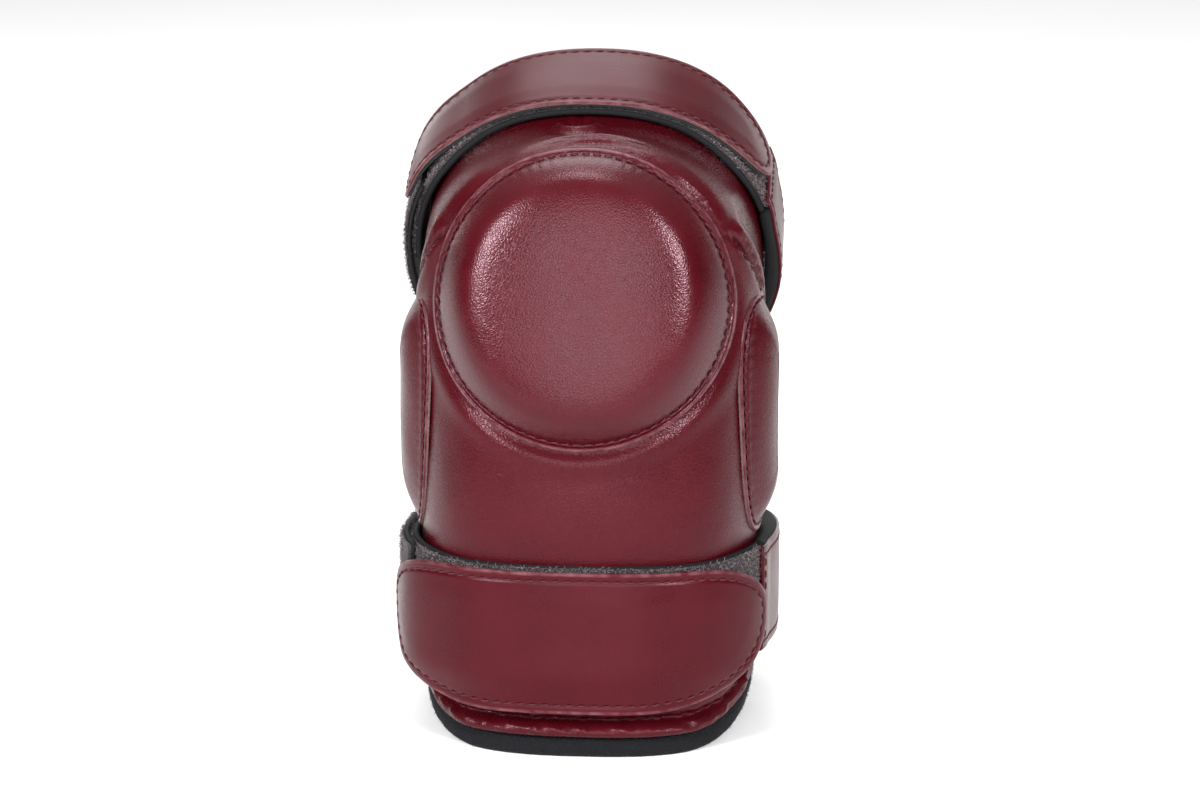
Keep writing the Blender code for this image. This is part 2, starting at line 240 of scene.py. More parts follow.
def section_radius(turn, half_width, depth, squareness):
    """Distance from the limb's axis to a superellipse, at a turn from the front."""
    across = np.abs(np.sin(turn) / half_width) ** squareness
    along = np.abs(np.cos(turn) / depth) ** squareness
    return (across + along) ** (-1.0 / squareness)


def shell_points(positions, angles):
    """Places on the shell's outer surface at stations and angles round the limb."""
    values = np.moveaxis(stations_at(positions), -1, 0)
    front_y, front_z, axis_y, axis_z, half_width, squareness = values
    depth = np.hypot(front_y - axis_y, front_z - axis_z)
    turn = np.radians(angles)
    radius = section_radius(turn, half_width, depth, squareness)
    forward = radius * np.cos(turn) / depth
    y = axis_y + (front_y - axis_y) * forward
    z = axis_z + (front_z - axis_z) * forward
    return np.stack([radius * np.sin(turn), y, z], axis=-1)


def shell_normals(positions, angles):
    low = np.maximum(positions - 0.02, 0.0)
    high = np.minimum(positions + 0.02, TOP_STATION)
    upward = shell_points(high, angles) - shell_points(low, angles)
    sideways = shell_points(positions, angles + 0.5) - shell_points(positions, angles - 0.5)
    return unit(np.cross(sideways, upward))


def shell_tree():
    """A fine copy of the shell's outer surface, to lay the cap and the side pads on."""
    steps = 96
    positions, angles = np.meshgrid(
        np.linspace(0.0, TOP_STATION, steps + 1),
        np.linspace(-LINING_REACH, LINING_REACH, steps + 1),
        indexing="ij",
    )
    points = shell_points(positions, angles).reshape(-1, 3)
    corner = (np.arange(steps)[:, None] * (steps + 1) + np.arange(steps)).ravel()
    faces = np.stack([corner, corner + 1, corner + steps + 2, corner + steps + 1], axis=-1)
    return BVHTree.FromPolygons(points.tolist(), faces.tolist())


SHELL = shell_tree()


def cast_on_shell(points, outward):
    """Where lines along outward meet the shell, and the shell's normals there."""
    way = Vector(outward)
    found = [SHELL.ray_cast(Vector(point) + way * 100.0, -way)[:2] for point in points]
    return np.array([hit for hit, _ in found]), np.array([normal for _, normal in found])


# ---------------------------------------------------------------- mesh building


def mesh_piece(name, points, faces, materials, material_ids=None, wear_and_highlight=None):
    """A closed mesh from points in millimetres; its last argument says where its leather is painted
    lighter, partly for worn leather and partly as a painted highlight.
    """
    mesh = bpy.data.meshes.new(name)
    mesh.from_pydata(((points + AXIS_PLACE) * MM).tolist(), [], faces)
    for material in materials:
        mesh.materials.append(material)
    if material_ids is not None:
        mesh.polygons.foreach_set("material_index", material_ids)
    layer = mesh.attributes.new("wear_and_highlight", "FLOAT", "POINT")
    if wear_and_highlight is not None:
        layer.data.foreach_set("value", np.asarray(wear_and_highlight, np.float32))
    welded = bmesh.new()
    welded.from_mesh(mesh)
    bmesh.ops.remove_doubles(welded, verts=welded.verts, dist=0.002 * MM)
    bmesh.ops.recalc_face_normals(welded, faces=welded.faces)
    welded.to_mesh(mesh)
    welded.free()
    mesh.shade_smooth()
    obj = bpy.data.objects.new(name, mesh)
    bpy.context.scene.collection.objects.link(obj)
    return obj


def settle(obj, nodes=(), bodies=("root",), hinge=()):
    """Hangs a piece on the empty of its first body and hides the CAD nodes that it stands for.
    A piece given a hinge is only baked in place in the frame."""
    if hinge:
        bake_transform(obj)
    else:
        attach(obj, bodies[0])
    if nodes:
        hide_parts(*nodes)


def dome(inset, width, softness):
    """A padded face's height share: a slope of the given width, rounded into a level top."""
    slope = np.clip(inset, 0.0, None) / width
    level = (slope + 1.0 - np.sqrt((slope - 1.0) ** 2 + softness)) / 2
    floor = (1.0 - math.sqrt(1.0 + softness)) / 2
    return (level - floor) / (1.0 - floor)


def loft_faces(lofts, loops, around):
    """Quads of closed tubes, each of loops rings of around points, and the rings at their ends."""
    start = (np.arange(lofts) * loops * around)[:, None, None]
    ring = start + (np.arange(loops - 1) * around)[:, None]
    turn = np.arange(around)
    after = (turn + 1) % around
    quads = np.stack([ring + turn, ring + after, ring + around + after, ring + around + turn], -1)
    ends = np.concatenate([start[:, 0] + turn[::-1], start[:, 0] + (loops - 1) * around + turn])
    return quads.reshape(-1, 4).tolist(), ends.tolist()


def loft(name, loops, materials, loop_materials=None, wear_and_highlight=None, filled=True):
    """A closed piece through loops, an array (loops, points, xyz). Its ends are filled in, or
    each end loop runs back along itself and is welded shut."""
    count, around = loops.shape[:2]
    quads, ends = loft_faces(1, count, around)
    ids = None
    if loop_materials is not None:
        ids = np.repeat(loop_materials, around)
        if filled:
            ids = np.concatenate([ids, [loop_materials[0], loop_materials[-1]]])
        ids = ids.astype(np.int32)
    if wear_and_highlight is not None:
        wear_and_highlight = np.broadcast_to(wear_and_highlight, (count, around)).ravel()
    faces = quads + ends if filled else quads
    return mesh_piece(name, loops.reshape(-1, 3), faces, materials, ids, wear_and_highlight)


def strands(name, centres, sides, others, turns, thickness, material):
    """Many small closed tubes round centre lines (tubes, places, xyz): each has points at the
    given turns between its own two side directions, as far out as thickness says."""
    across = sides[:, None, None] * np.cos(turns)[:, None]
    across = across + others[:, None, None] * np.sin(turns)[:, None]
    rings = centres[:, :, None] + across * thickness[:, None, None]
    quads, ends = loft_faces(*rings.shape[:3])
    return mesh_piece(name, rings.reshape(-1, 3), quads + ends, [material])


def resample(points, normals, pitch, closed):
    """Points, normals and directions at an even pitch along a line."""
    if closed:
        points = np.vstack([points, points[:1]])
        normals = np.vstack([normals, normals[:1]])
    runs = arc_table(points)
    count = max(int(round(runs[-1] / pitch)), 1)
    at = (np.arange(count) + 0.5) * runs[-1] / count
    ahead = values_at(np.minimum(at + 0.6, runs[-1]), runs, points)
    behind = values_at(np.maximum(at - 0.6, 0.0), runs, points)
    middles, normals = values_at(at, runs, points), unit(values_at(at, runs, normals))
    return middles, normals, unit(ahead - behind)


def stitches(name, lines, pitch, seed, radius=THREAD_RADIUS):
    """Sewn stitches along lines of (points, normals, closed)."""
    parts = [resample(*line[:2], pitch, line[2]) for line in lines]
    middles, normals, ways = (np.concatenate(group) for group in zip(*parts))
    random = np.random.default_rng(seed)
    sides = np.cross(normals, ways)
    slant = random.normal(0.10, 0.05, len(middles))[:, None]
    ways = unit(ways + sides * slant)
    sides = np.cross(normals, ways)
    half = pitch * 0.39 * random.uniform(0.92, 1.06, len(middles))[:, None]
    share = np.array([-1.0, -0.82, -0.4, 0.0, 0.4, 0.82, 1.0])
    rise = np.array([-0.75, -0.05, 0.30, 0.36, 0.30, -0.05, -0.75]) * radius / THREAD_RADIUS
    thickness = np.array([0.55, 0.9, 1.0, 1.0, 1.0, 0.9, 0.55]) * radius
    turn = np.linspace(0, 2 * math.pi, 7)[:-1]
    centres = middles[:, None] + ways[:, None] * (half[:, None] * share[:, None])
    centres = centres + normals[:, None] * rise[:, None]
    return strands(name, centres, sides, normals, turn, thickness, MATERIALS["thread"])


def fibres(name, bases, normals, length, lean, material, seed, radius):
    """Short curled fibres that stand on a surface."""
    random = np.random.default_rng(seed)
    count = len(bases)
    lengths = length * random.uniform(0.55, 1.25, count)[:, None]
    first = unit(normals + lean * random.normal(size=(count, 3)))
    second = unit(first + 1.1 * random.normal(size=(count, 3)))
    third = unit(second + 1.1 * random.normal(size=(count, 3)))
    root = bases - normals * 0.25
    knots = [root]
    for way, share in ((first, 0.45), (second, 0.3), (third, 0.25)):
        knots.append(knots[-1] + way * lengths * share)
    side = unit(np.cross(first, random.normal(size=(count, 3))))
    turn = np.array([0.0, 2.1, 4.2])
    thickness = radius * np.array([1.0, 1.0, 0.9, 0.35])
    return strands(
        name, np.stack(knots, axis=1), side, np.cross(side, first), turn, thickness, material
    )


# ---------------------------------------------------------------- materials


def add_node(tree, kind, inputs=None, **settings):
    """A node with its settings; an input is a value, or the socket to link it to."""
    made = tree.nodes.new(kind)
    for key, value in settings.items():
        setattr(made, key, value)
    for key, value in (inputs or {}).items():
        if isinstance(value, bpy.types.NodeSocket):
            tree.links.new(value, made.inputs[key])
        else:
            made.inputs[key].default_value = value
    return made


class Recipe:
    """A node material, built in few words."""

    def __init__(self, name, roughness=0.5, specular=0.5, sheen=0.0):
        self.material = bpy.data.materials.new(name)
        self.material.use_nodes = True
        self.tree = self.material.node_tree
        self.shader = self.tree.nodes["Principled BSDF"]
        self.shader.inputs["Roughness"].default_value = roughness
        self.shader.inputs["Specular IOR Level"].default_value = specular
        self.shader.inputs["Sheen Weight"].default_value = sheen
        self.place = self.node("ShaderNodeTexCoord").outputs["Object"]

    def node(self, kind, inputs=None, **settings):
        return add_node(self.tree, kind, inputs, **settings)

    def noise(self, size, detail=3.0, place=None):
        """Noise whose features are about size millimetres."""
        inputs = {"Vector": place or self.place, "Scale": 1.0 / (size * MM), "Detail": detail}
        return self.node("ShaderNodeTexNoise", inputs).outputs["Fac"]

    def cells(self, size, feature="F1", place=None):
        inputs = {"Vector": place or self.place, "Scale": 1.0 / (size * MM)}
        made = self.node("ShaderNodeTexVoronoi", inputs, feature=feature)
        return made.outputs["Distance"]

    def stretch(self, value, low, high, to_low=0.0, to_high=1.0):
        inputs = {0: value, 1: low, 2: high, 3: to_low, 4: to_high}
        return self.node("ShaderNodeMapRange", inputs).outputs[0]

    def math(self, operation, first, second):
        return self.node("ShaderNodeMath", {0: first, 1: second}, operation=operation).outputs[0]

    def mix(self, share, first, second):
        inputs = {0: share, 6: first, 7: second}
        return self.node("ShaderNodeMix", inputs, data_type="RGBA").outputs[2]

    # Where leather is painted lighter: partly worn leather, partly a painted highlight.
    def wear_and_highlight(self):
        return self.node("ShaderNodeAttribute", attribute_name="wear_and_highlight").outputs["Fac"]

    def colour(self, value):
        self.tree.links.new(value, self.shader.inputs["Base Color"])

    def roughness(self, value):
        self.tree.links.new(value, self.shader.inputs["Roughness"])

    def bump(self, height, strength, depth, below=None):
        inputs = {"Height": height, "Strength": strength, "Distance": depth * MM}
        if below:
            inputs["Normal"] = below
        return self.node("ShaderNodeBump", inputs).outputs["Normal"]

    def finish(self, normal):
        self.tree.links.new(normal, self.shader.inputs["Normal"])
        return self.material


def rgb(red, green, blue):
    return (red, green, blue, 1.0)


def leather(name, grain, grain_depth, roughness, shine, tint):
    """Dyed, semi-gloss leather with a pebble grain of the given cell size."""
    recipe = Recipe(name, specular=shine)
    recipe.shader.inputs["Specular Tint"].default_value = rgb(1.0, 0.70, 0.79)
    shift = recipe.node("ShaderNodeTexNoise", {"Vector": recipe.place, "Scale": 420.0})
    scaled = recipe.node(
        "ShaderNodeVectorMath", {0: shift.outputs["Color"], 3: 0.0011}, operation="SCALE"
    )
    place = recipe.node(
        "ShaderNodeVectorMath", {0: recipe.place, 1: scaled.outputs[0]}, operation="ADD"
    ).outputs[0]
    pebbles = recipe.stretch(recipe.cells(grain, "DISTANCE_TO_EDGE", place), 0.0, 0.28)
    pores = recipe.stretch(recipe.noise(0.45, 2.0, place), 0.35, 0.65)
    patches = recipe.noise(22.0, 4.0)
    wear_and_highlight = recipe.wear_and_highlight()

    dark = rgb(*(channel * 0.90 for channel in tint))
    light = rgb(*(channel * 1.08 for channel in tint))
    base = recipe.mix(recipe.stretch(patches, 0.35, 0.65), dark, light)
    # Painted shade: the pebble grain's valleys are painted darker.
    crease_shade = recipe.stretch(pebbles, 0.0, 0.5, max(0.8 * grain_depth - 0.11, 0.0), 0.0)
    base = recipe.mix(crease_shade, base, rgb(*(channel * 0.45 for channel in tint)))
    # Rim places are painted lighter and pinker: partly worn leather, partly a painted highlight on
    # the sewn rims.
    rubbed_and_highlit = recipe.math("MULTIPLY", wear_and_highlight, recipe.stretch(recipe.noise(4.0, 2.0), 0.3, 0.7))
    base = recipe.mix(rubbed_and_highlit, base, rgb(tint[0] * 2.6, tint[1] + 0.036, tint[2] + 0.042))
    recipe.colour(base)

    gloss = recipe.stretch(patches, 0.3, 0.7, roughness - 0.04, roughness + 0.05)
    gloss = recipe.math("ADD", gloss, recipe.stretch(pebbles, 0.0, 0.6, 0.06, 0.0))
    recipe.roughness(gloss)
    coarse = recipe.bump(patches, 0.15, 0.4)
    grained = recipe.bump(pebbles, grain_depth, 0.10, coarse)
    return recipe.finish(recipe.bump(pores, grain_depth * 0.35, 0.05, grained))


def cloth(name, dark, light, fleck, size, depth, sheen, roughness):
    """Felt, neoprene knit or pile: flecked colour over a fibrous or knitted relief."""
    recipe = Recipe(name, specular=0.2, sheen=sheen)
    recipe.shader.inputs["Sheen Roughness"].default_value = 0.5
    relief = recipe.noise(size, 4.0)
    knit = recipe.cells(size * 0.9)
    flecks = recipe.stretch(recipe.noise(size * 0.6, 2.0), 0.60, 0.74)
    base = recipe.mix(recipe.stretch(relief, 0.3, 0.7), rgb(*dark), rgb(*light))
    recipe.colour(recipe.mix(flecks, base, rgb(*fleck)))
    recipe.roughness(recipe.stretch(relief, 0.3, 0.7, roughness - 0.06, roughness + 0.06))
    return recipe.finish(recipe.bump(knit, 0.5, depth, recipe.bump(relief, 0.8, depth)))


def fibre_material(name, dark, light):
    recipe = Recipe(name, roughness=0.7, specular=0.2, sheen=0.05)
    shade = recipe.stretch(recipe.noise(0.7, 2.0), 0.38, 0.62)
    recipe.colour(recipe.mix(shade, rgb(*dark), rgb(*light)))
    recipe.roughness(recipe.stretch(recipe.noise(2.0), 0.3, 0.7, 0.6, 0.8))
    return recipe.finish(recipe.bump(recipe.noise(0.3), 0.3, 0.05))


def thread_material():
    """Twisted thread: fine bands across it, each a little lighter on its raised top as a painted
    highlight.
    """
    recipe = Recipe("thread", specular=0.2)
    inputs = {"Vector": recipe.place, "Scale": 700.0, "Distortion": 2.0}
    twist = recipe.node("ShaderNodeTexWave", inputs).outputs["Fac"]
    # Painted highlight: the raised part of each twist band is painted lighter.
    recipe.colour(recipe.mix(twist, rgb(0.028, 0.004, 0.007), rgb(0.085, 0.016, 0.024)))
    recipe.roughness(recipe.stretch(twist, 0.0, 1.0, 0.5, 0.65))
    return recipe.finish(recipe.bump(twist, 0.5, 0.06))


def cut_edge_material():
    """The bare edge of cut leather: brown-grey fibres."""
    recipe = Recipe("cut_edge", specular=0.25)
    strata = recipe.noise(0.5, 4.0)
    shade = recipe.stretch(strata, 0.35, 0.65)
    recipe.colour(recipe.mix(shade, rgb(0.050, 0.030, 0.027), rgb(0.125, 0.085, 0.075)))
    recipe.roughness(recipe.stretch(strata, 0.3, 0.7, 0.7, 0.9))
    return recipe.finish(recipe.bump(strata, 0.6, 0.1))


TINT = (0.043, 0.0015, 0.0038)
STRAP_TINT = tuple(0.97 * channel for channel in TINT)
MATERIALS = {
    "shell_leather": leather("shell_leather", 1.15, 0.42, 0.26, 0.19, TINT),
    "cap_leather": leather("cap_leather", 1.05, 0.30, 0.24, 0.26, TINT),
    "strap_leather": leather("strap_leather", 0.85, 0.14, 0.30, 0.17, STRAP_TINT),
    "thread": thread_material(),
    "cut_edge": cut_edge_material(),
    "felt": cloth(
        "felt", (0.002, 0.002, 0.003), (0.006, 0.006, 0.008), (0.015, 0.015, 0.018),
        size=0.7, depth=0.30, sheen=0.02, roughness=0.95,
    ),
    "neoprene": cloth(
        "neoprene", (0.002, 0.002, 0.003), (0.006, 0.006, 0.007), (0.012, 0.012, 0.013),
        size=0.5, depth=0.10, sheen=0.0, roughness=0.8,
    ),
    "hook": cloth(
        "hook", (0.006, 0.006, 0.007), (0.016, 0.016, 0.018), (0.03, 0.03, 0.03),
        size=0.9, depth=0.40, sheen=0.05, roughness=0.7,
    ),
    "pile": cloth(
        "pile", (0.004, 0.003, 0.003), (0.040, 0.031, 0.034), (0.20, 0.16, 0.17),
        size=0.8, depth=0.70, sheen=0.1, roughness=0.95,
    ),
    "pile_fibre": fibre_material("pile_fibre", (0.015, 0.011, 0.012), (0.260, 0.205, 0.215)),
    "felt_fibre": fibre_material("felt_fibre", (0.004, 0.004, 0.005), (0.016, 0.016, 0.019)),
}


# ---------------------------------------------------------------- the shell


def edge_graded(length, step):
    """Distances from 0 to length, close together at both ends."""
    fine = (0.0, 0.3, 0.8, 1.5, 2.4, 3.4, 4.6)
    inner = np.arange(fine[-1] + step, length - fine[-1] - step / 2, step)
    return np.concatenate([fine, inner, length - np.array(fine[::-1])])


def even_stations(start, end, step, dense):
    """Stations at an even step along the shell's side, closer together in the dense spans."""
    fine = np.linspace(start, end, 1500)
    run = arc_table(shell_points(fine, np.full_like(fine, 35.0)))
    weight = np.ones_like(fine)
    for low, high in dense:
        weight += smooth(low - 0.1, low, fine) * (1 - smooth(high, high + 0.1, fine))
    work = np.concatenate([[0], np.cumsum(np.diff(run) * (weight[1:] + weight[:-1]) / 2)])
    return np.interp(np.linspace(0, work[-1], int(work[-1] / step)), work, fine)


def even_angles(reach, step, dense=0.0):
    """Angles at an even step round the shell, closer together at its edges, and near the front
    centre line where dense is not 0."""
    fine = np.linspace(-reach, reach, 1200)
    run = arc_table(shell_points(np.full_like(fine, 2.5), fine))
    angles = np.interp(edge_graded(run[-1], step), run, fine)
    if dense:
        near = np.abs(angles + 4.0) < dense
        between = (angles[:-1] + angles[1:])[near[:-1] & near[1:]] / 2
        angles = np.sort(np.concatenate([angles, between]))
    return angles


def corner_rise(angles):
    """How far the guard's lower edge rises toward its two rear corners."""
    return CORNER_RISE * smooth(RISE_START, COVER_REACH, np.abs(angles))


def with_risen_foot(positions, angles, start):
    """Stations that follow the risen lower edge, less and less up from their start."""
    lifted = corner_rise(angles) / FIRST_STEP
    return positions + lifted * (1 - smooth(0.0, RISE_FADE, positions - start))


def feature(position, angle):
    """A place on the shell, and the shell's normal there."""
    place = np.array(position), np.array(angle)
    return shell_points(*place), shell_normals(*place)


def dart(points, start, end, crease, pillow, pucker):
    """A gathered seam: a crease that fades in, full flanks, and small puckers across it."""
    (tip, normal), (tail, _) = feature(*start), feature(*end)
    length = np.linalg.norm(tail - tip)
    along = (tail - tip) / length
    side = np.cross(normal, along)
    away = points - tip
    u, v = away @ along, away @ side
    bend = 0.9 * np.sin(np.clip(u / length, 0, 1) * math.pi)
    v = v - bend
    near = smooth(-1.5, 5.0, u) * (1 - smooth(length + 2, length + 8, u))
    near = near * (np.abs(away @ normal) < 25.0)
    relief = -crease * bell(v, 0.0, 0.85)
    relief += pillow * (bell(v, 4.0, 3.2) + 0.55 * bell(v, -4.2, 3.0))
    relief += pucker * np.sin(2 * math.pi * u / 2.1 + 0.6 * v) * bell(np.abs(v), 1.5, 1.3)
    return near * relief


def top_gather(points):
    """The dart under the upper strap: a pinch over a crescent fold."""
    tip, normal = feature(5.93, -4.2)
    up = unit(feature(6.10, -4.2)[0] - tip)
    side = np.cross(up, normal)
    away = points - tip
    u, v = away @ side, away @ up
    near = (np.abs(away @ normal) < 20.0) * bell(np.hypot(u, v), 0.0, 14.0)
    radius = np.hypot(u, v)
    lower = smooth(4.0, -1.0, v)
    relief = 2.1 * bell(radius, 6.2, 1.6) * lower
    relief -= 2.6 * bell(radius, 0.0, 3.0)
    relief -= 0.8 * bell(radius, 10.5, 2.0) * lower
    relief -= 0.9 * bell(u, 0.0, 0.9) * smooth(-1.5, 1.5, v)
    relief += 0.6 * (bell(u, 3.0, 1.6) + bell(u, -3.0, 1.6)) * smooth(1.0, 4.0, v)
    return near * relief


CAP_RIGHT = np.array([1.0, 0.0, 0.0])
CAP_UP = np.array([0.0, math.sin(math.radians(CAP_LEAN)), math.cos(math.radians(CAP_LEAN))])
CAP_OUT = np.array([0.0, -math.cos(math.radians(CAP_LEAN)), math.sin(math.radians(CAP_LEAN))])
CAP_MIDDLE = np.array([0.0, *CAP_CENTRE])


def cap_places(points):
    """Distance from the cap's middle in its plane, and the angle round it."""
    away = points - CAP_MIDDLE
    right, up = away @ CAP_RIGHT, away @ CAP_UP
    return np.hypot(right, up), np.degrees(np.arctan2(up, right))


def cover_relief(points, angles):
    """How far the body leather stands above the plain shell, in millimetres."""
    distance, turn = cap_places(points)
    outside = distance - CAP_RADIUS
    front = points[..., 1] < 20.0
    height = points[..., 2] - corner_rise(angles)
    relief = 0.25 * waves(points, 45.0, 3) + 0.04 * waves(points, 14.0, 4)
    relief += np.where(front, 0.9 * bell(outside, 4.5, 3.2), 0.0)
    wrinkles = bell(turn, 86.0, 13.0) * bell(outside, 3.6, 2.4) * front
    relief += wrinkles * (0.75 * np.cos(2 * math.pi * (outside - 1.2) / 2.2 + 0.12 * (turn - 86.0)))
    lip = bell(turn, 45.0, 26.0) * bell(outside, 1.9, 1.1) * front
    relief += 0.7 * lip * (1 + 0.5 * waves(points, 2.2, 12))
    hollows = bell(turn, 150.0, 9.0) * bell(outside, 3.5, 2.6)
    hollows += bell(turn, 122.0, 7.0) * bell(outside, 5.0, 3.0)
    relief -= 0.9 * hollows * front
    relief += 2.6 * bell(height, 78.0, 22.0) * bell(angles, 0.0, 50.0)
    for side, tail in ((-1.0, 4.50), (1.0, 4.70)):
        relief += dart(points, (4.72, side * 44.0), (tail, side * 84.0), 2.6, 1.7, 0.55)
    relief += top_gather(points)
    relief *= smooth(0.6, 2.6, outside) + (distance > 200) + (1 - front)
    relief = np.minimum(relief, 4.0)

    puckers = 0.30 * waves(points * np.array([1.0, 1.0, 0.15]), 4.5, 8) + 0.25 * waves(points, 2.6, 9)
    roll = np.clip((height - HEM_HEIGHT) / (FOLD_HEIGHT - HEM_HEIGHT), 0, 1)
    roll = np.sin(roll**0.8 * math.pi)
    line = FOLD_HEIGHT + 0.35 * waves(points * np.array([1.0, 1.0, 0.0]), 30.0, 10)
    proud = 1.2 + 2.6 * (1 - smooth(28.0, 56.0, np.abs(angles)))
    relief += proud * roll**0.7 * (height < FOLD_HEIGHT)
    relief -= 1.9 * bell(height, line, 0.9)
    relief += 1.5 * puckers * bell(height, line - 1.0, 3.0)
    relief += 0.8 * bell(height, line + 3.6, 2.4)
    return relief


def make_body_cover():
    start = (HEM_HEIGHT + 0.35) / FIRST_STEP
    end = TOP_STATION - EDGE_SETBACK
    spans = ((0.15, 0.5), (4.2, 4.9), (5.3, 6.1))
    positions = even_stations(start, end, 1.15, spans)
    outer_angles = even_angles(COVER_REACH, 1.25, dense=12.0)
    positions, angles = np.meshgrid(positions, outer_angles, indexing="ij")
    positions = with_risen_foot(positions, angles, start)
    points = shell_points(positions, angles)
    normals = shell_normals(positions, angles)
    run = arc_table(points[len(points) // 2])
    side_distance = np.minimum(run, run[-1] - run)
    climb = arc_table(points[:, points.shape[1] // 3])
    top_distance = (climb[-1] - climb)[:, None]
    relief = cover_relief(points, angles)
    edge = round_over(side_distance, COVER_EDGE_RADIUS) + round_over(top_distance, COVER_EDGE_RADIUS)
    edge = edge + round_over(climb, 1.6)[:, None]
    relief = relief * smooth(0.0, 5.0, side_distance) - edge
    outer = points + normals * relief[..., None]

    inner_angles = np.linspace(COVER_REACH, -COVER_REACH, 40)
    inner_positions = np.broadcast_to(
        positions[:, positions.shape[1] // 2, None], (len(positions), len(inner_angles))
    )
    inner_grid = np.broadcast_to(inner_angles, inner_positions.shape)
    inner_positions = with_risen_foot(inner_positions, inner_grid, start)
    inner = shell_points(inner_positions, inner_grid)
    inner = inner - shell_normals(inner_positions, inner_grid) * (LINING_DEPTH - 0.2)
    loops = np.concatenate([outer, inner], axis=1)
    cover = loft("body_cover_leather", loops, [MATERIALS["shell_leather"]])
    settle(cover, ("body_cover", "body_foam"))

    fold = np.argmin(np.abs(points[:, points.shape[1] // 2, 2] - FOLD_HEIGHT))
    keep = np.abs(outer_angles) < 84.0
    lines = [(outer[fold][keep] + normals[fold][keep] * 0.3, normals[fold][keep], False)]
    for column in (6, -7):
        beside = normals[8:-4, column]
        lines.append((outer[8:-4, column] + beside * 0.05, beside, False))
    sewn = stitches("body_cover_stitches", lines, STITCH_PITCH, 21, radius=0.28)
    settle(sewn)


def slab(low_depth, high_depth, radius):
    """Points round a slab's rounded edge: their distances in from it, and their depths."""
    middle, half = (low_depth + high_depth) / 2, (high_depth - low_depth) / 2
    radius = min(radius, half)
    turn = np.linspace(0, math.pi, 9)
    return radius * (1 - np.sin(turn)), middle - half * np.cos(turn)


def make_lining():
    """The felt behind the padding."""
    start, end = (HEM_HEIGHT - 0.5) / FIRST_STEP, TOP_STATION
    positions = even_stations(start, end, 2.2, ())
    rounds, depths = slab(LINING_DEPTH, SHELL_THICKNESS, 1.2)
    angles = np.linspace(-LINING_REACH, LINING_REACH, 120)
    right = LINING_REACH - rounds  # a millimetre is about a degree here
    loop_angles = np.concatenate([angles[2:-2], right, angles[2:-2][::-1], -right[::-1]])
    flat = len(angles) - 4
    loop_depths = np.concatenate(
        [np.full(flat, LINING_DEPTH), depths, np.full(flat, SHELL_THICKNESS), depths[::-1]]
    )
    grid_positions, grid_angles = np.meshgrid(positions, loop_angles, indexing="ij")
    grid_positions = with_risen_foot(grid_positions, grid_angles, start)
    points = shell_points(grid_positions, grid_angles)
    normals = shell_normals(grid_positions, grid_angles)
    quilt = 0.35 * waves(points, 26.0, 12) * (loop_depths > (LINING_DEPTH + 1.5))
    loops = points - normals * (loop_depths + quilt)[..., None]
    lining = loft("lining_felt", loops, [MATERIALS["felt"]])
    settle(lining, ("body_lining",))


def make_hem():
    """The felt hem that the guard stands on, thinner at its two rear ends."""
    top, corner = HEM_HEIGHT + 0.3, 1.8
    outline = [
        (corner * (1 - math.sin(turn)), top - corner * (1 - math.cos(turn)))
        for turn in np.linspace(0, math.pi / 2, 6)
    ]
    outline += [(-0.35, 5.0), (-0.45, 3.4), (-0.3, 1.8), (0.1, 0.7), (0.8, 0.12), (1.8, 0.0)]
    outline += [(depth, 0.0) for depth in (4.0, 6.0, 8.0, 10.2)]
    outline += [(11.6, 0.3), (SHELL_THICKNESS, 1.4), (SHELL_THICKNESS, 3.5), (SHELL_THICKNESS, 6.0)]
    outline += [(11.6, 7.0), (10.4, top), (8.0, top), (5.0, top)]
    depths, heights = np.array(outline).T
    angles = even_angles(COVER_REACH + 1.0, 1.1)
    feet = shell_points(np.zeros_like(angles), angles)
    normals = shell_normals(np.zeros_like(angles), angles)
    taper = np.linspace(0.35, 1.0, 5)
    end_share = np.concatenate([taper, np.ones(len(angles) - 10), taper[::-1]])
    loops = np.zeros((len(angles), len(depths), 3))
    rise = corner_rise(angles)
    for k, (depth, height) in enumerate(zip(depths, heights)):
        around = 6.0 + (depth - 6.0) * end_share
        level = 3.5 + (height - 3.5) * (0.5 + 0.5 * end_share)
        level = np.where(height == 0.0, 0.0, level)
        loops[:, k] = feet - normals * around[:, None]
        loops[:, k, 2] = level + rise
    fuzz = 0.10 * waves(loops, 6.0, 14) * (heights > 0.5)
    loops += normals[:, None] * fuzz[..., None]
    hem = loft("hem_felt", loops, [MATERIALS["felt"]])
    settle(hem, ("hem_binding",))

    random = np.random.default_rng(31)
    count = 5200
    at = random.uniform(-COVER_REACH, COVER_REACH, count)
    height = random.uniform(0.6, HEM_HEIGHT, count)
    bases = shell_points(np.zeros(count), at)
    out = shell_normals(np.zeros(count), at)
    bases[:, 2] = height + corner_rise(at)
    nap = fibres(
        "hem_felt_fibres", bases + out * 0.35, out, 0.75, 0.9, MATERIALS["felt_fibre"], 32, 0.05
    )
    settle(nap)


# ---------------------------------------------------------------- cap and side pads

RIM_DISTANCES = np.array([0.0, 0.25, 0.6, 1.0, 1.4, 1.8, 2.1, 2.4, 2.8, 3.2, 3.8, 4.6, 5.6])


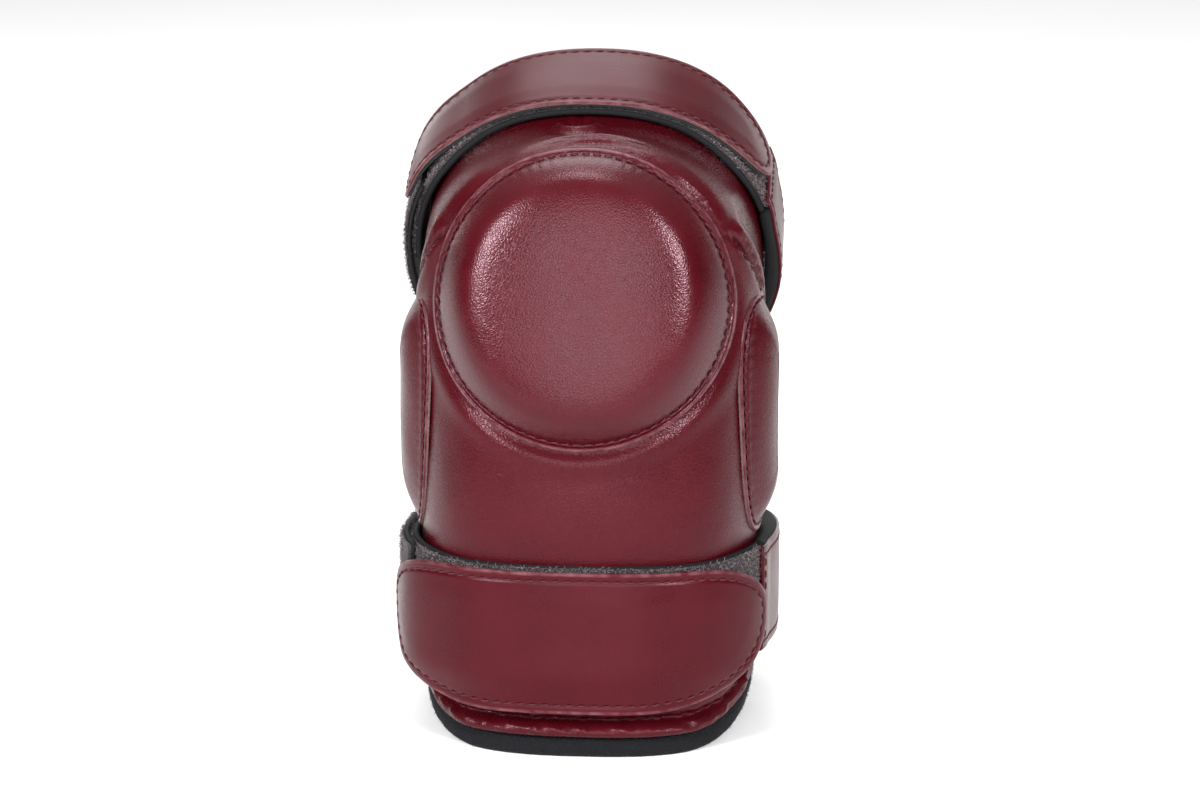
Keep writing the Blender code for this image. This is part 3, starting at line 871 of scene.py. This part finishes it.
def puffed(rings):
    """A pad's face as cloth under air pressure, with its outermost rings sewn down. The cloth is
    run at ten times its size on every third point round, and no point moves beyond PAD_PUFF."""
    coarse = rings[:, ::3]
    count, around = coarse.shape[:2]
    scale = 10 * MM
    faces, _ = loft_faces(1, count, around)
    mesh = bpy.data.meshes.new("puffed")
    mesh.from_pydata((coarse.reshape(-1, 3) * scale).tolist(), [], faces)
    obj = bpy.data.objects.new("puffed", mesh)
    bpy.context.scene.collection.objects.link(obj)
    sewn = obj.vertex_groups.new(name="sewn")
    sewn.add(list(range((count - PINNED_RINGS) * around, count * around)), 1.0, "REPLACE")
    settings = obj.modifiers.new("cloth", "CLOTH").settings
    settings.vertex_group_mass = "sewn"
    settings.use_pressure = True
    settings.uniform_pressure_force = 4.0
    settings.tension_stiffness = 40.0
    settings.compression_stiffness = 40.0
    settings.bending_stiffness = 5.0
    settings.effector_weights.gravity = 0.0
    for step in range(PUFF_STEPS):
        bpy.context.scene.frame_set(step + 1)
    moved = obj.evaluated_get(bpy.context.evaluated_depsgraph_get()).data
    after = np.zeros(len(moved.vertices) * 3, np.float32)
    moved.vertices.foreach_get("co", after)
    shift = after.reshape(coarse.shape) / scale - coarse
    length = np.linalg.norm(shift, axis=-1, keepdims=True)
    shift = shift * PAD_PUFF / (PAD_PUFF + length)
    bpy.data.objects.remove(obj)
    bpy.context.scene.frame_set(1)
    points = np.arange(rings.shape[1])
    knots = np.arange(around + 1) * 3
    for ring, line in zip(rings, np.concatenate([shift, shift[:, :1]], axis=1)):
        ring += values_at(points, knots, line)
    return rings


def sewn_pad(name, rings, base_rings, nodes, leather_name, stitch_line, pitch, seed):
    """A padded cover: rings from the middle out over its face, then back under it."""
    rim_top, rim_bottom = rings[-1], base_rings[0]
    outward = unit(rings[-1] - rings[-3])
    rim = []
    for share in (0.2, 0.5, 0.8):
        bulge = 0.35 * math.sin(math.pi * share)
        rim.append(rim_top * (1 - share) + rim_bottom * share + outward * bulge)
    loops = np.concatenate([rings, rim, base_rings])
    ids = np.zeros(len(loops) - 1)
    ids[len(rings) - 1 : len(rings) + len(rim)] = 1
    # The leather round the pad's rim is painted lighter: partly worn leather, partly a painted
    # highlight.
    wear_and_highlight = np.zeros((len(loops), 1))
    wear_and_highlight[len(rings) - 3 : len(rings) + 4] = 1.0
    pad = loft(name, loops, [MATERIALS[leather_name], MATERIALS["cut_edge"]], ids, wear_and_highlight)
    settle(pad, nodes)
    points, normals, closed = stitch_line
    sewn = stitches(
        f"{name}_stitches", [(points + normals * 0.22, normals, closed)], pitch, seed, radius=0.34
    )
    settle(sewn)


def cap_ring(radius, turn):
    """A flat ring of points about the cap's middle."""
    way = np.cos(turn)[:, None] * CAP_RIGHT + np.sin(turn)[:, None] * CAP_UP
    return CAP_MIDDLE + radius * way


def make_cap():
    turn = np.linspace(0, 2 * math.pi, 300, endpoint=False)
    degrees = np.degrees(turn)
    face_steps = np.arange(6.0, CAP_RADIUS - RIM_DISTANCES[-1], 1.3)
    radii = np.concatenate([[0.0, 1.5, 3.5], face_steps, CAP_RADIUS - RIM_DISTANCES[::-1]])
    rings, normals_at = [], []
    for radius in radii:
        inset = CAP_RADIUS - radius
        flat = cap_ring(radius, turn)
        hit, normal = cast_on_shell(flat, CAP_OUT)
        flange = hit + normal * (FLANGE_RISE + FLANGE_THICKNESS)
        plateau = hit * CAP_FLATTER + flat * (1.0 - CAP_FLATTER)
        plateau = plateau + CAP_OUT * (CAP_HEIGHT - CAP_CROWN * (radius / CAP_RADIUS) ** 2)
        share = dome(inset - PAD_WALL_START, 8.0, 0.24)
        surface = flange * (1 - share) + plateau * share
        groove = -0.85 * bell(inset, FLANGE_STITCH_INSET, 0.75) - round_over(np.array(inset), 0.6)
        lip = 0.25 * bell(inset, 1.1, 0.6) * (1 + 0.8 * waves(flat, 3.0, 41))
        gathers = np.sin(2 * math.pi * turn * CAP_RADIUS * 0.95 / CAP_STITCH_PITCH)
        gathers = gathers * (0.35 + 0.65 * bell(degrees, 100.0, 42.0))
        gathers = gathers * 0.22 * bell(inset, 3.6, 1.3)
        pulls = -0.7 * bell(degrees, 160.0, 4.0) * bell(inset, 7.5, 2.5)
        pulls -= 0.4 * bell(degrees, 138.0, 5.0) * bell(inset, 4.5, 2.5)
        pulls -= 0.3 * bell(degrees, 20.0, 6.0) * bell(inset, 6.0, 3.0)
        drift = 0.08 * waves(flat, 30.0, 42) * smooth(3.0, 9.0, inset)
        rings.append(surface + CAP_OUT * (groove + lip + gathers + pulls + drift)[:, None])
        normals_at.append(normal)
    base = []
    for radius in (CAP_RADIUS, 47.0, 30.0, 0.0):
        hit, normal = cast_on_shell(cap_ring(radius, turn), CAP_OUT)
        base.append(hit + normal * FLANGE_RISE)
    rings = puffed(np.array(rings))
    stitched = int(np.argmin(np.abs(radii - (CAP_RADIUS - FLANGE_STITCH_INSET))))
    line = (rings[stitched], normals_at[stitched], True)
    sewn_pad(
        "cap_cover_leather", rings, np.array(base), ("cap_cover", "cap_foam"),
        "cap_leather", line, CAP_STITCH_PITCH, 43,
    )


def superellipse(turns, half_size, squareness):
    """An even walk round a superellipse, as (across, along) and its outward directions."""
    fine = np.linspace(0, 2 * math.pi, 4001)
    across = half_size[0] * np.sign(np.cos(fine)) * np.abs(np.cos(fine)) ** (2 / squareness)
    along = half_size[1] * np.sign(np.sin(fine)) * np.abs(np.sin(fine)) ** (2 / squareness)
    outline = np.stack([across, along], axis=-1)
    return even_outline(outline, turns)


def even_outline(outline, turns):
    """Evenly spaced points of a closed flat line that runs anticlockwise, and outward directions."""
    closed = np.vstack([outline, outline[:1]])
    run = arc_table(closed)
    at = np.linspace(0, run[-1], turns, endpoint=False)

    def walk(where):
        return values_at(np.mod(where, run[-1]), run, closed)

    step = walk(at + 0.8) - walk(at - 0.8)
    outward = unit(np.stack([step[:, 1], -step[:, 0]], axis=-1))
    return walk(at), outward


def flat_rings(outline, outward, spine, inner_step, rim=RIM_DISTANCES):
    """Flat rings from the spine out to the outline, with their distances in from the outline."""
    deepest = rim[-1]
    inside = outline - outward * deepest
    reach = np.linalg.norm(inside - spine, axis=1)
    count = max(int(reach.max() / inner_step), 4)
    rings, distances = [], []
    for share in np.linspace(0, 1, count, endpoint=False):
        rings.append(spine * (1 - share) + inside * share)
        distances.append(deepest + reach * (1 - share))
    for distance in rim[::-1]:
        rings.append(outline - outward * distance)
        distances.append(np.full(len(outline), distance))
    return rings, distances


def make_side_pad(name, side, seed):
    outline, outward = superellipse(240, SIDE_HALF_SIZE, SIDE_SQUARENESS)
    reach = SIDE_HALF_SIZE[1] - SIDE_HALF_SIZE[0]
    spine = np.stack([np.zeros(240), np.clip(outline[:, 1], -reach, reach)], axis=-1)
    way = np.array([side, 0.0, 0.0])
    rings, normals_at = [], []
    flats, distances = flat_rings(outline, outward, spine, 1.3)

    def place(flat):
        points = np.zeros((len(flat), 3))
        points[:, 1] = SIDE_CENTRE[0] + side * flat[:, 0]
        points[:, 2] = SIDE_CENTRE[1] + flat[:, 1]
        return cast_on_shell(points, way)

    for flat, inset in zip(flats, distances):
        hit, normal = place(flat)
        puff = (SIDE_HEIGHT + SIDE_CROWN) * dome(inset - PAD_WALL_START, 11.0, 0.45)
        groove = -0.8 * bell(inset, FLANGE_STITCH_INSET, 0.75) - round_over(inset, 0.6)
        gathers = 0.07 * np.sin(hit[:, 2] * 2 * math.pi / 4.0) * bell(inset, 4.2, 2.0)
        drift = 0.15 * waves(hit, 25.0, seed) * smooth(3.0, 8.0, inset)
        rise = FLANGE_RISE + FLANGE_THICKNESS + puff + groove + gathers + drift
        rings.append(hit + normal * rise[:, None])
        normals_at.append(normal)
    rings = puffed(np.array(rings))
    base = []
    for share in (1.0, 0.9, 0.4, 0.0):
        hit, normal = place(spine * (1 - share) + outline * share)
        base.append(hit + normal * FLANGE_RISE)
    stitched = len(rings) - 1 - int(np.argmin(np.abs(RIM_DISTANCES - FLANGE_STITCH_INSET)))
    line = (rings[stitched], normals_at[stitched], True)
    nodes = (f"{name}_side_cover", f"{name}_side_foam")
    sewn_pad(
        f"{name}_side_pad_leather", rings, np.array(base), nodes,
        "shell_leather", line, CAP_STITCH_PITCH, seed,
    )


# ---------------------------------------------------------------- straps


class StrapPath:
    """The closed path of one strap. Places on it are a run along it from the front centre line,
    a level above the ring and a distance across, along the arm."""

    def __init__(self, strap):
        lean = math.radians(strap["lean"])
        self.strap = strap
        self.axis = np.array([0.0, math.sin(lean), math.cos(lean)])
        forward = np.array([0.0, -math.cos(lean), math.sin(lean)])
        centre = np.array([0.0, *strap["centre"]])
        self.angles = np.arange(-130.0, 500.0, 0.25)
        turn = np.radians(self.angles)
        depth = np.where(np.cos(turn) >= 0.0, strap["front_depth"], strap["rear_depth"])
        radius = section_radius(turn, strap["half_width"], depth, strap["squareness"])
        self.points = (
            centre
            + (radius * np.sin(turn))[:, None] * np.array([1.0, 0.0, 0.0])
            + (radius * np.cos(turn))[:, None] * forward
        )
        tangent = np.gradient(self.points, axis=0)
        self.outward = unit(np.cross(tangent, self.axis))
        if self.outward[len(turn) // 4] @ (self.points[len(turn) // 4] - centre) < 0:
            self.outward = -self.outward
        self.runs = arc_table(self.points + self.outward * HOOK_LEVEL)
        self.runs = self.runs - np.interp(0.0, self.angles, self.runs)

    def run(self, angle):
        """The run at an angle round the ring from the front."""
        return np.interp(angle, self.angles, self.runs)

    def angle(self, run):
        return np.interp(run, self.runs, self.angles)

    def out(self, run):
        """Directions away from the limb at a run."""
        return unit(values_at(run, self.runs, self.outward))

    def place(self, run, level, across):
        run, level, across = np.broadcast_arrays(run, level, across)
        ring = values_at(run, self.runs, self.points)
        return ring + self.out(run) * level[..., None] + self.axis * across[..., None]

    def hinge(self, run, level, half_zone):
        """Where a bend about a hinge starts and ends, in the frame's metres."""
        ends = (run - half_zone, run + half_zone)
        return [tuple((self.place(end, level, 0.0) + AXIS_PLACE) * MM) for end in ends]


def strip_section(low, high, thickness, inset=None):
    """Closed outline (across, level below the top face) of a flat strip with rounded edges, and
    with grooves for its two rows of stitches where they are set in."""
    half_turn = np.linspace(0, math.pi, 7)
    radius = thickness / 2
    middle, half = (low + high) / 2, (high - low) / 2
    fine = np.array([0.5, 1.0, 1.5, 2.0, 2.3, 2.6, 3.0, 3.4, 3.7, 4.1, 4.8])
    flat = np.arange(low + 6.0, high - 5.9, (high - low - 12.0) / 10)
    across = np.concatenate([low + radius + fine - 0.4, flat, (high - radius - fine + 0.4)[::-1]])
    level = 0.25 * (1 - np.abs((across - middle) / half) ** 3)
    if inset:
        level = level - 0.35 * (bell(across, low + inset, 0.6) + bell(across, high - inset, 0.6))
    right = (high - radius + radius * np.sin(half_turn), -radius + radius * np.cos(half_turn))
    left = (low + radius - radius * np.sin(half_turn), -radius - radius * np.cos(half_turn))
    under = np.linspace(high - radius - 2, low + radius + 2, 6)
    section_across = np.concatenate([across, right[0], under, left[0]])
    section_level = np.concatenate([level, right[1], np.full(6, -thickness), left[1]])
    return section_across, section_level


def trimmed(path, runs, across):
    """The band's edges are drawn in behind the middle of the tab, which hides them."""
    low, high = path.strap["band"]
    low_trim, high_trim = path.strap["trim"]
    share = (across - low) / (high - low)
    front = 1.0 - smooth(28.0, 60.0, np.abs(path.angle(runs)))
    return across + front * (low_trim * (1 - share) - high_trim * share)


def strip(name, path, start, end, section, top, material, bottom=None, trim=False):
    """A strip of strap from run start to run end; top(run) gives its outer face's level, and
    bottom(run) its inner face's, if it is not as thick as its section all along."""
    runs = np.linspace(start, end, max(int((end - start) / STRIP_STEP), 3))
    across, level = section
    outer = top(runs)[:, None]
    if bottom:
        level = level * (outer - bottom(runs)[:, None]) / -level.min()
    if trim:
        across = trimmed(path, runs[:, None], across)
    return loft(name, path.place(runs[:, None], outer + level, across), [material])


def tab_outline(path, count=160):
    """The tab's flat outline, anticlockwise in (run, across), its outward directions, and the
    line along its middle that the outline's two sides share."""
    strap = path.strap
    low, high = strap["tab"]
    tip = low + strap["tip"] * (high - low)
    left, right = path.run(strap["tab_left"]), path.run(strap["tab_right"])
    turn = np.radians(np.linspace(0.0, 90.0, 60))
    sides = []
    for edge, corner in zip((low, high), strap["corners"]):
        back = corner * (1 - np.sin(turn) ** (2 / 2.1))
        across = tip + (edge - tip) * np.cos(turn) ** (2 / 2.1)
        corner_line = np.stack([right - back, across], axis=-1)
        mirrored = np.stack([left + back, across], axis=-1)
        side = np.vstack([mirrored[::-1], corner_line])
        run = arc_table(side)
        at = (np.arange(count) + 0.5) / count * run[-1]
        sides.append(values_at(at, run, side))
    lower, upper = sides
    outline = np.vstack([lower, upper[::-1]])
    step = np.roll(outline, -1, axis=0) - np.roll(outline, 1, axis=0)
    outward = unit(np.stack([step[:, 1], -step[:, 0]], axis=-1))
    middle = np.clip((lower[:, 0] + upper[:, 0]) / 2, left + 15.0, right - 15.0)
    spine = np.stack([middle, np.full(count, tip)], axis=-1)
    return outline, outward, np.vstack([spine, spine[::-1]])


def tab_lift(path, run):
    """The tab's left end rises over the end of the strap that it is sewn to, and its right end
    stands a little off the loop tape."""
    left, right = path.run(path.strap["tab_left"]), path.run(path.strap["tab_right"])
    over_strap = TUCK_LIFT * (1 - smooth(left + TUCK_LENGTH, left + TUCK_LENGTH + 24.0, run))
    return over_strap + FREE_END_LIFT * smooth(right - 30.0, right, run) ** 2


def tab_droop(path, across):
    """Where the tab is wider than the band under it, its edge sags toward the shell."""
    low, high = path.strap["band"]
    return 2.6 * (smooth(0.0, 13.0, low - across) + smooth(0.0, 13.0, across - high))


def tab_place(path, flat, level):
    """Places of the tab's flat points at a level, with the tab's lift and droop."""
    level = level + tab_lift(path, flat[:, 0]) - tab_droop(path, flat[:, 1])
    return path.place(flat[:, 0], level, flat[:, 1])


def make_tab(name, path, seed):
    """The wide front tab: its leather, the stitches round it and the hook tape under it."""
    outline, outward, spine = tab_outline(path)
    rim = np.array([0.0, 0.15, 0.4, 0.8, 1.3, 1.8, 2.2, 2.6, 3.0, 3.4, 3.8, 4.3, 5.2, 6.4])
    flats, distances = flat_rings(outline, outward, spine, 1.7, rim)
    rings = []
    for flat, inset in zip(flats, distances):
        level = TAB_TOP - 0.32 * bell(inset, STRAP_STITCH_INSET, 0.6) - round_over(inset, 0.45)
        place = tab_place(path, flat, level + 0.35 * smooth(3.0, 12.0, inset))
        drift = 0.18 * waves(place, 45.0, seed)
        rings.append(place + path.out(flat[:, 0]) * drift[:, None])
    drifted = path.out(outline[:, 0]) * 0.18 * waves(rings[-1], 45.0, seed)[:, None]
    rim_loops = [
        tab_place(path, outline - outward * distance, TAB_TOP - drop) + drifted
        for distance, drop in ((-0.12, 0.62), (-0.05, 0.9), (0.15, STRAP_LEATHER))
    ]
    base = [
        tab_place(path, flat, TAB_TOP - STRAP_LEATHER)
        for flat in (outline - outward * 3.0, (outline + spine) / 2, spine)
    ]
    loops = np.array(rings + rim_loops + base)
    ids = np.zeros(len(loops) - 1)
    ids[len(rings) : len(rings) + 2] = 1
    # The leather round the tab's rim is painted lighter: partly worn leather, partly a painted
    # highlight.
    wear_and_highlight = np.zeros((len(loops), 1))
    wear_and_highlight[len(rings) - 4 : len(rings) + 3] = 1.0
    tab = loft(
        f"{name}_tab_leather", loops, [MATERIALS["strap_leather"], MATERIALS["cut_edge"]],
        ids, wear_and_highlight, filled=False,
    )
    bodies = (f"{name}_tab_left", f"{name}_tab_right")
    hinge = path.hinge(0.0, TAB_TOP, 16.0)
    settle(tab, [f"{body}_leather" for body in bodies], bodies, hinge)
    stitched = len(rings) - 1 - int(np.argmin(np.abs(rim - STRAP_STITCH_INSET)))
    line = (rings[stitched], path.out(flats[stitched][:, 0]), True)
    sewn = stitches(f"{name}_tab_stitches", [line], STITCH_PITCH, seed + 2)
    settle(sewn, (), bodies, hinge)

    hook_out = [outline - outward * distance for distance in (0.75, 0.5, 0.5, 0.75)]
    hook_level = (HOOK_LEVEL + HOOK_THICKNESS + 0.15, HOOK_LEVEL + 0.8, HOOK_LEVEL + 0.2, HOOK_LEVEL)
    flats = [spine, (hook_out[0] + spine) / 2, *hook_out, (hook_out[0] + spine) / 2, spine]
    levels = [hook_level[0], hook_level[0], *hook_level, HOOK_LEVEL, HOOK_LEVEL]
    loops = np.array([tab_place(path, flat, level) for flat, level in zip(flats, levels)])
    hook = loft(f"{name}_tab_hook_tape", loops, [MATERIALS["hook"]], filled=False)
    settle(hook, [f"{body}_hook" for body in bodies], bodies, hinge)


def scatter(span, width, count, seed):
    """Random places, as their runs in the span and their distances across in the width."""
    runs = np.random.default_rng(seed).uniform(*span, count)
    return runs, np.random.default_rng(seed + 1).uniform(*width, count)


def standing_pile(name, bases, out, seed):
    """Loop pile that nothing presses down."""
    return fibres(name, bases, out, PILE_LENGTH, 0.85, MATERIALS["pile_fibre"], seed, 0.10)


def rear_level(path, run):
    """Level of the rear strap's outer face: level with the band at the seam, and at its far end
    low enough to lie under the tab."""
    strap = path.strap
    angle = path.angle(run)
    seam, rear_end = strap["seam"], strap["tab_left"] + 360.0
    climb = (HOOK_LEVEL - 1.4) * smooth(seam + 20.0, rear_end - 20.0, angle)
    bow = smooth(seam, seam + 30.0, angle) * (1.0 - smooth(120.0, 200.0, angle))
    overlap = 0.9 * (1 - smooth(path.run(seam), path.run(seam) + 10.0, run))
    return 3.7 + climb + 0.6 * REAR_SLACK * bow + overlap


def make_rear(name, path, seed):
    """The strap behind the arm in three lengths, each given the places of one hinge. The last is
    faced with loop tape, and its end lies under the tab."""
    strap = path.strap
    low, high = strap["band"]
    seam_angle = strap["seam"]
    seam, back = path.run(seam_angle), path.run(180.0)
    far = path.run(strap["tab_left"] + 360.0)
    first_cut, second_cut = path.run(126.0), path.run(238.0)
    right, left = f"{name}_rear_right", f"{name}_rear_left"
    spans = (
        ("seam", seam - 4.0, first_cut, ("root", right), (seam, 9.0), right),
        ("back", first_cut, second_cut, (right, left), (back, 16.0), left),
        ("side", second_cut, far + TUCK_LENGTH, (left, f"{name}_tab_left"), (far, 9.0), None),
    )
    faces = {
        "leather": strip_section(low + 0.8, high - 0.8, STRAP_LEATHER, STRAP_STITCH_INSET),
        "loop": strip_section(low + 1.2, high - 1.2, 0.9),
        "neoprene": strip_section(low - 0.4, high + 0.2, BAND_THICKNESS),
    }

    def outer(runs):
        return rear_level(path, runs)

    def joint_level(runs):
        return rear_level(path, runs) - STRAP_LEATHER + 0.1

    def inner(runs):
        """The neoprene is a soft pad that fills the gap beside the shell."""
        angle = path.angle(runs)
        beside = smooth(seam_angle - 3.0, seam_angle + 3.0, angle)
        beside = beside * (1 - smooth(112.0, 135.0, angle))
        flat = joint_level(runs) - BAND_THICKNESS
        flat = flat + 0.8 * smooth(far - 30.0, far - 6.0, runs)
        return flat * (1 - beside) - 0.7 * beside

    for part, start, end, bodies, (at, zone), nodes in spans:
        hinge = path.hinge(at, 4.0, zone)
        facing = "loop" if part == "side" else "leather"
        piece = strip(
            f"{name}_rear_{part}_{facing}", path, start, end, faces[facing], outer,
            MATERIALS["pile" if facing == "loop" else "strap_leather"],
        )
        stands_for = (f"{nodes}_leather",) if nodes else ()
        settle(piece, stands_for, bodies, hinge)
        piece = strip(
            f"{name}_rear_{part}_neoprene", path, max(start, seam + 0.2), end, faces["neoprene"],
            joint_level, MATERIALS["neoprene"], inner,
        )
        stands_for = (f"{nodes}_lining",) if nodes else ()
        settle(piece, stands_for, bodies, hinge)
        if facing == "loop":
            span = (start + 1.0, far + 2.0)
            at_runs, across = scatter(span, (low + 1.0, high - 1.0), 6000, seed)
            bases, out = path.place(at_runs, outer(at_runs) - 0.15, across), path.out(at_runs)
            pile = standing_pile(f"{name}_rear_pile", bases, out, seed + 3)
            settle(pile, (), bodies, hinge)
            continue
        lines = []
        runs = np.linspace(start + 1.5, end - 0.5, 60)
        for across in (low + 0.8 + STRAP_STITCH_INSET, high - 0.8 - STRAP_STITCH_INSET):
            lines.append((path.place(runs, outer(runs) - 0.12, across), path.out(runs), False))
        if part == "seam":
            across = np.linspace(low + 4.5, high - 4.5, 30)
            runs = np.full(30, start + 2.6)
            lines.append((path.place(runs, outer(runs) + 0.2, across), path.out(runs), False))
        sewn = stitches(f"{name}_rear_{part}_stitches", lines, STITCH_PITCH, seed + len(part), 0.22)
        settle(sewn, (), bodies, hinge)


def make_band(name, path, seed):
    """The band sewn to the shell, its loop face and the pile that the hook tape grips."""
    strap = path.strap
    low, high = strap["band"]
    start, end = path.run(strap["band_end"]), path.run(strap["seam"])

    band = strip(
        f"{name}_band_neoprene", path, start, end, strip_section(low, high, BAND_THICKNESS),
        lambda runs: np.full(len(runs), BAND_THICKNESS - 0.25), MATERIALS["neoprene"], trim=True,
    )
    settle(band, (f"{name}_band",))
    face = strip(
        f"{name}_loop_tape", path, start + 1.5, end - 1.5, strip_section(low + 0.8, high - 0.8, 1.0),
        lambda runs: np.full(len(runs), LOOP_TOP - 0.25), MATERIALS["pile"], trim=True,
    )
    settle(face, (f"{name}_loop_face",))

    count = 17000
    runs, across = scatter((start + 1.6, end - 1.6), (low + 0.6, high - 0.6), count, seed)
    across = trimmed(path, runs, across)
    bases, out = path.place(runs, LOOP_TOP - 0.2, across), path.out(runs)
    outline, outward, _ = tab_outline(path)
    inset = outline - outward * 1.5
    left, right = inset[:, 0].min(), inset[:, 0].max()
    half = len(inset) // 2
    over_low = np.interp(runs, inset[:half, 0], inset[:half, 1])
    over_high = np.interp(runs, inset[half:, 0][::-1], inset[half:, 1][::-1])
    tall = (runs < left) | (runs > right) | (across < over_low) | (across > over_high)
    pile = standing_pile(f"{name}_loop_pile", bases[tall], out[tall], seed + 1)
    settle(pile)
    pressed = np.flatnonzero(~tall)[::4]
    flat = fibres(
        f"{name}_pressed_pile", bases[pressed], out[pressed], 0.5, 0.9,
        MATERIALS["pile_fibre"], seed + 2, 0.06,
    )
    settle(flat)


def make_straps():
    for seed, (name, strap) in zip((100, 200), STRAPS.items()):
        path = StrapPath(strap)
        make_band(name, path, seed)
        make_rear(name, path, seed + 10)
        make_tab(name, path, seed + 20)


# ---------------------------------------------------------------- floor, light and camera


def make_floor():
    bpy.ops.mesh.primitive_circle_add(vertices=96, radius=6.0, fill_type="NGON")
    floor = bpy.context.object
    floor.name = "floor"
    recipe = Recipe("floor_paper", roughness=0.9, specular=0.1)
    shade = recipe.stretch(recipe.noise(300.0), 0.3, 0.7)
    recipe.colour(recipe.mix(shade, rgb(0.90, 0.90, 0.90), rgb(0.93, 0.93, 0.93)))
    floor.data.materials.append(recipe.finish(recipe.bump(recipe.noise(1.0), 0.05, 0.02)))


def area_light(name, place, aim, size, power):
    data = bpy.data.lights.new(name, "AREA")
    data.shape = "RECTANGLE"
    data.size, data.size_y = size
    data.energy = power
    light = bpy.data.objects.new(name, data)
    bpy.context.scene.collection.objects.link(light)
    light.location = place
    light.rotation_euler = (Vector(aim) - Vector(place)).to_track_quat("-Z", "Y").to_euler()


def make_world():
    """White behind the guard and overhead, and dim behind the camera, as in a white studio."""
    world = bpy.data.worlds.new("studio")
    bpy.context.scene.world = world
    world.use_nodes = True
    tree = world.node_tree

    def node(kind, inputs, **settings):
        return add_node(tree, kind, inputs, **settings).outputs[0]

    direction = add_node(tree, "ShaderNodeTexCoord").outputs["Generated"]
    split = add_node(tree, "ShaderNodeSeparateXYZ", {0: direction})
    behind = node(
        "ShaderNodeMapRange", {0: split.outputs["Y"], 1: 0.60, 2: 0.88, 3: 0.06, 4: 3.0}
    )
    low = node("ShaderNodeMapRange", {0: split.outputs["Z"], 1: 0.10, 2: 0.40, 3: 1.0, 4: 0.12})
    wall = node("ShaderNodeMath", {0: behind, 1: low}, operation="MULTIPLY")
    above = node("ShaderNodeMath", {0: split.outputs["Z"], 1: 0.0}, operation="MAXIMUM")
    above = node("ShaderNodeMath", {0: above, 1: 2.0}, operation="POWER")
    above = node("ShaderNodeMath", {0: above, 1: 1.15}, operation="MULTIPLY")
    total = node("ShaderNodeMath", {0: wall, 1: above}, operation="ADD")
    background = tree.nodes["Background"]
    background.inputs["Color"].default_value = (1.0, 1.0, 1.0, 1.0)
    tree.links.new(total, background.inputs["Strength"])


def make_lights():
    aim = (0.0, 0.0, 0.11)
    area_light("front_softbox", (0.0, -1.62, 0.54), aim, (0.80, 0.70), 14.5)
    area_light("left_softbox", (-0.94, -1.16, 0.79), aim, (0.30, 0.34), 30.0)
    area_light("right_softbox", (0.92, -1.20, 0.81), aim, (0.30, 0.34), 27.0)
    area_light("top_softbox", (-0.08, 0.05, 1.35), aim, (0.40, 0.25), 6.0)
    area_light("back_softbox", (-0.15, 1.0, 1.40), aim, (0.9, 0.7), 8.0)


def make_camera():
    azimuth, elevation = math.radians(4.0), math.radians(15.0)
    aim = Vector((4.9, -22.8, 117.2)) * MM
    distance = 1.2
    toward = Vector(
        (
            math.sin(azimuth) * math.cos(elevation),
            -math.cos(azimuth) * math.cos(elevation),
            math.sin(elevation),
        )
    )
    camera = bpy.data.objects.new("camera", bpy.data.cameras.new("camera"))
    bpy.context.scene.collection.objects.link(camera)
    camera.data.lens = 106.0
    camera.location = aim + toward * distance
    camera.rotation_euler = (-toward).to_track_quat("-Z", "Y").to_euler()
    bpy.context.scene.camera = camera


make_body_cover()
make_lining()
make_hem()
make_cap()
make_side_pad("left", -1.0, 51)
make_side_pad("right", 1.0, 61)
make_straps()
make_floor()
make_world()
make_lights()
make_camera()
bpy.context.scene.view_settings.view_transform = "Standard"
